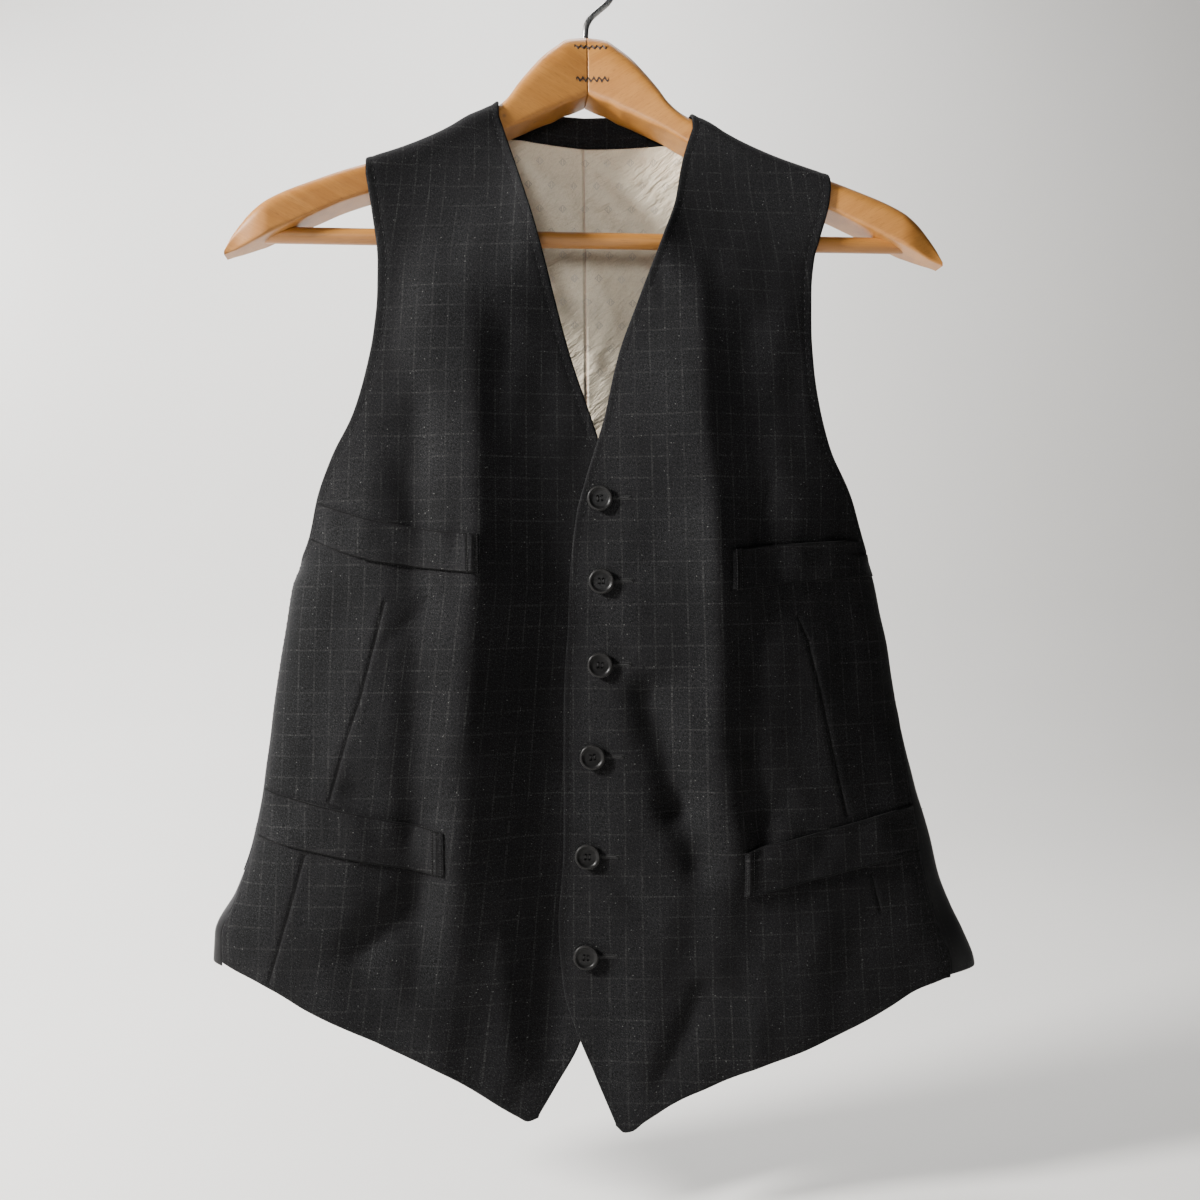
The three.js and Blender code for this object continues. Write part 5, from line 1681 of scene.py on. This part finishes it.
class WaistcoatCloth(bpy.types.PropertyGroup):
    wool_colour: tint("Wool", "Darkest colour of the suiting", (0.0050, 0.0050, 0.0055))
    fleck_colour: tint("Flecks", "Pale yarn of the broken check", (0.16, 0.16, 0.155))
    line_pitch: length("Line pitch", "Distance between the check's upright lines", 0.0099, 0.002)
    rung_pitch: length("Rung pitch", "Distance between the check's level lines", 0.0127, 0.002)
    satin_colour: tint("Back satin", "Colour of the back and the straps", (0.0036, 0.0036, 0.0041))
    lining_colour: tint("Lining", "Cream of the figured lining", (0.82, 0.72, 0.55))
    figure_pitch: length("Figure pitch", "Distance between the lining's small figures", 0.015, 0.004)
    stitch_spacing: length("Stitch spacing", "Distance between pick stitches on an edge", 0.005, 0.001)


class WaistcoatTrim(bpy.types.PropertyGroup):
    button_colour: tint("Buttons", "Dark colour of the buttons", (0.0055, 0.0054, 0.0055))
    thread_colour: tint("Dark thread", "Thread of the buttons and edges", (0.003, 0.003, 0.0033))
    hole_thread: tint("Buttonhole thread", "Grey twist of the buttonholes", (0.009, 0.009, 0.0094))
    hole_length: length("Buttonhole", "Length of a buttonhole", 0.0185, 0.008)


class HangerLook(bpy.types.PropertyGroup):
    wood_colour: tint("Wood", "Palest colour of the hanger's wood", (0.47, 0.205, 0.042))
    varnish: FloatProperty(
        name="Varnish", description="Strength of the clear coat", default=0.25, min=0, max=1,
        subtype="FACTOR")
    steel_colour: tint("Steel", "Colour of the hook and buckle", (0.56, 0.56, 0.55))


class StageLook(bpy.types.PropertyGroup):
    floor_colour: tint("Floor", "Plain colour of the floor and backdrop", (0.72, 0.71, 0.69))
    floor_drop: length("Drop", "Distance from the lowest cloth down to the floor", 0.06)
    key_power: watts("Key light", "Power of the light at the left", 92.0)
    fill_power: watts("Fill light", "Power of the soft light at the right", 0.6)
    behind_power: watts("Light behind", "Power of the light on the back", 45.0)
    neck_power: watts("Neck light", "Power of the light into the neck", 48.0)
    back_power: watts("Backdrop light", "Power of the light on the backdrop", 30.0)


# Operators

class WAISTCOAT_OT_fronts(bpy.types.Operator):
    """Makes the two wool fronts"""

    bl_idname = "waistcoat.fronts"
    bl_label = "Wool fronts"

    def execute(self, context):
        make_front("front_left", LEFT)
        make_front("front_right", RIGHT)
        return {"FINISHED"}


class WAISTCOAT_OT_backs(bpy.types.Operator):
    """Makes the satin back, the figured lining and the neck band"""

    bl_idname = "waistcoat.backs"
    bl_label = "Back and lining"

    def execute(self, context):
        make_back("back_left", LEFT)
        make_back("back_right", RIGHT)
        make_lining()
        make_neck_band()
        return {"FINISHED"}


class WAISTCOAT_OT_pockets(bpy.types.Operator):
    """Makes the four pocket welts and the stitches on the edges, the pocket ends and the lining's top"""

    bl_idname = "waistcoat.pockets"
    bl_label = "Pockets and stitches"

    def execute(self, context):
        ends = []
        for welt in records(WELTS):
            ends += make_welt(welt)
        make_stitches(ends)
        make_lining_stitches()
        return {"FINISHED"}


class WAISTCOAT_OT_buttons(bpy.types.Operator):
    """Makes the six buttons and their buttonholes"""

    bl_idname = "waistcoat.buttons"
    bl_label = "Buttons and buttonholes"

    def execute(self, context):
        make_buttonholes()
        make_buttons()
        return {"FINISHED"}


class WAISTCOAT_OT_cinch(bpy.types.Operator):
    """Makes the cinch straps and their buckle"""

    bl_idname = "waistcoat.cinch"
    bl_label = "Cinch"

    def execute(self, context):
        make_cinch()
        return {"FINISHED"}


class WAISTCOAT_OT_hanger(bpy.types.Operator):
    """Makes the wooden hanger, its bar, hook and joint fasteners"""

    bl_idname = "waistcoat.hanger"
    bl_label = "Hanger"

    def execute(self, context):
        make_arm("hanger_left", LEFT)
        make_arm("hanger_right", RIGHT)
        make_bar()
        make_hook()
        make_fasteners()
        return {"FINISHED"}


class WAISTCOAT_OT_stage(bpy.types.Operator):
    """Makes the pale floor, the lights and the camera of the photograph"""

    bl_idname = "waistcoat.stage"
    bl_label = "Stage"

    def execute(self, context):
        make_floor()
        make_lights()
        make_camera()
        return {"FINISHED"}


def make_floor():
    look = bpy.context.scene.stage_look
    low = CAD_BOX[0][2] - look.floor_drop
    profile = [(-4.0, 0.0), (0.9, 0.0), (1.15, 0.02), (1.35, 0.08), (1.5, 0.2), (1.58, 0.36),
               (1.6, 0.6), (1.6, 4.0)]
    points = [(x, y, low + z) for y, z in profile for x in (-5.0, 5.0)]
    faces = [(2 * k, 2 * k + 1, 2 * k + 3, 2 * k + 2) for k in range(len(profile) - 1)]
    mesh = bpy.data.meshes.new("floor")
    mesh.from_pydata(points, [], faces)
    mesh.shade_smooth()
    floor = put("floor", mesh)
    material, n, shader = new_material("Pale floor")
    grain = n.noise(n.spot(), 3.0, 2.0)
    base = n.mix(grain, shade_of(look.floor_colour), shade_of(look.floor_colour, 0.96))
    n.feed(shader.inputs["Base Color"], base)
    shader.inputs["Roughness"].default_value = 0.8
    mesh.materials.append(material)


def make_lights():
    look = bpy.context.scene.stage_look
    world = bpy.data.worlds.new("Soft studio")
    world.use_nodes = True
    back = world.node_tree.nodes["Background"]
    back.inputs[0].default_value = (0.92, 0.94, 1.0, 1)
    back.inputs[1].default_value = 0.04
    bpy.context.scene.world = world
    low = (0, 0, -0.42)
    lights = (
        ("key", (-1.45, -0.50, 0.30), low, 0.35, look.key_power, (1.0, 0.98, 0.95)),
        ("fill", (0.7, -1.7, -0.1), low, 1.0, look.fill_power, (0.95, 0.97, 1.0)),
        ("behind", (-1.5, 1.3, 0.35), low, 0.8, look.behind_power, (1.0, 1.0, 1.0)),
        ("backdrop", (0.0, 0.5, 0.9), (0, 1.6, -0.3), 1.0, look.back_power, (1.0, 1.0, 1.0)),
    )
    for name, place, target, size, watts, colour in lights:
        data = bpy.data.lights.new(name, "AREA")
        data.shape, data.size, data.energy, data.color = "DISK", size, watts, colour
        aim(name, data, place, target)
    neck = bpy.data.lights.new("neck", "SPOT")
    neck.energy, neck.shadow_soft_size = look.neck_power, 0.2
    neck.spot_size, neck.spot_blend = math.radians(17), 1.0
    aim("neck", neck, (-0.26, -1.0, -0.16), (0.008, 0.01, -0.185))


def aim(name, data, place, target, roll=0.0):
    """Adds a light or camera at a place, turned to its target."""
    made = put(name, data)
    made.location = place
    made.rotation_mode = "QUATERNION"
    turn = (Vector(target) - Vector(place)).to_track_quat("-Z", "Y")
    made.rotation_quaternion = turn @ Quaternion((0, 0, 1), roll)
    return made


CAMERA_PLACE = (-0.0805, -0.8155, -0.410)
CAMERA_TARGET = (0.0052, 0.0, -0.410)
CAMERA_ROLL = -0.0117
CAMERA_ANGLE = 50.0


def make_camera():
    data = bpy.data.cameras.new("photo_camera")
    data.sensor_width = 36.0
    data.sensor_fit = "HORIZONTAL"
    data.lens = 18.0 / math.tan(math.radians(CAMERA_ANGLE / 2))
    data.clip_start, data.clip_end = 0.01, 50.0
    camera = aim("photo_camera", data, CAMERA_PLACE, CAMERA_TARGET, CAMERA_ROLL)
    bpy.context.scene.camera = camera


class WAISTCOAT_PT_sidebar(bpy.types.Panel):
    bl_idname = "WAISTCOAT_PT_sidebar"
    bl_label = "Waistcoat"
    bl_space_type = "VIEW_3D"
    bl_region_type = "UI"
    bl_category = "Waistcoat"

    def draw(self, context):
        layout = self.layout
        for operator in OPERATORS:
            layout.operator(operator.bl_idname)
        for holder in HOLDERS:
            values = getattr(context.scene, holder)
            box = layout.box()
            for name in values.__annotations__:
                box.prop(values, name)


HOLDERS = {
    "waistcoat_cloth": WaistcoatCloth,
    "waistcoat_trim": WaistcoatTrim,
    "hanger_look": HangerLook,
    "stage_look": StageLook,
}
OPERATORS = (
    WAISTCOAT_OT_fronts,
    WAISTCOAT_OT_backs,
    WAISTCOAT_OT_pockets,
    WAISTCOAT_OT_buttons,
    WAISTCOAT_OT_cinch,
    WAISTCOAT_OT_hanger,
    WAISTCOAT_OT_stage,
)


def register():
    for made in (*HOLDERS.values(), *OPERATORS, WAISTCOAT_PT_sidebar):
        bpy.utils.register_class(made)
    for name, group in HOLDERS.items():
        setattr(bpy.types.Scene, name, PointerProperty(type=group))


def unregister():
    for name in HOLDERS:
        delattr(bpy.types.Scene, name)
    for made in reversed((*HOLDERS.values(), *OPERATORS, WAISTCOAT_PT_sidebar)):
        bpy.utils.unregister_class(made)


def main():
    register()
    bpy.ops.waistcoat.fronts()
    bpy.ops.waistcoat.backs()
    bpy.ops.waistcoat.pockets()
    bpy.ops.waistcoat.buttons()
    bpy.ops.waistcoat.cinch()
    bpy.ops.waistcoat.hanger()
    bpy.ops.waistcoat.stage()


if __name__ == "__main__":
    main()
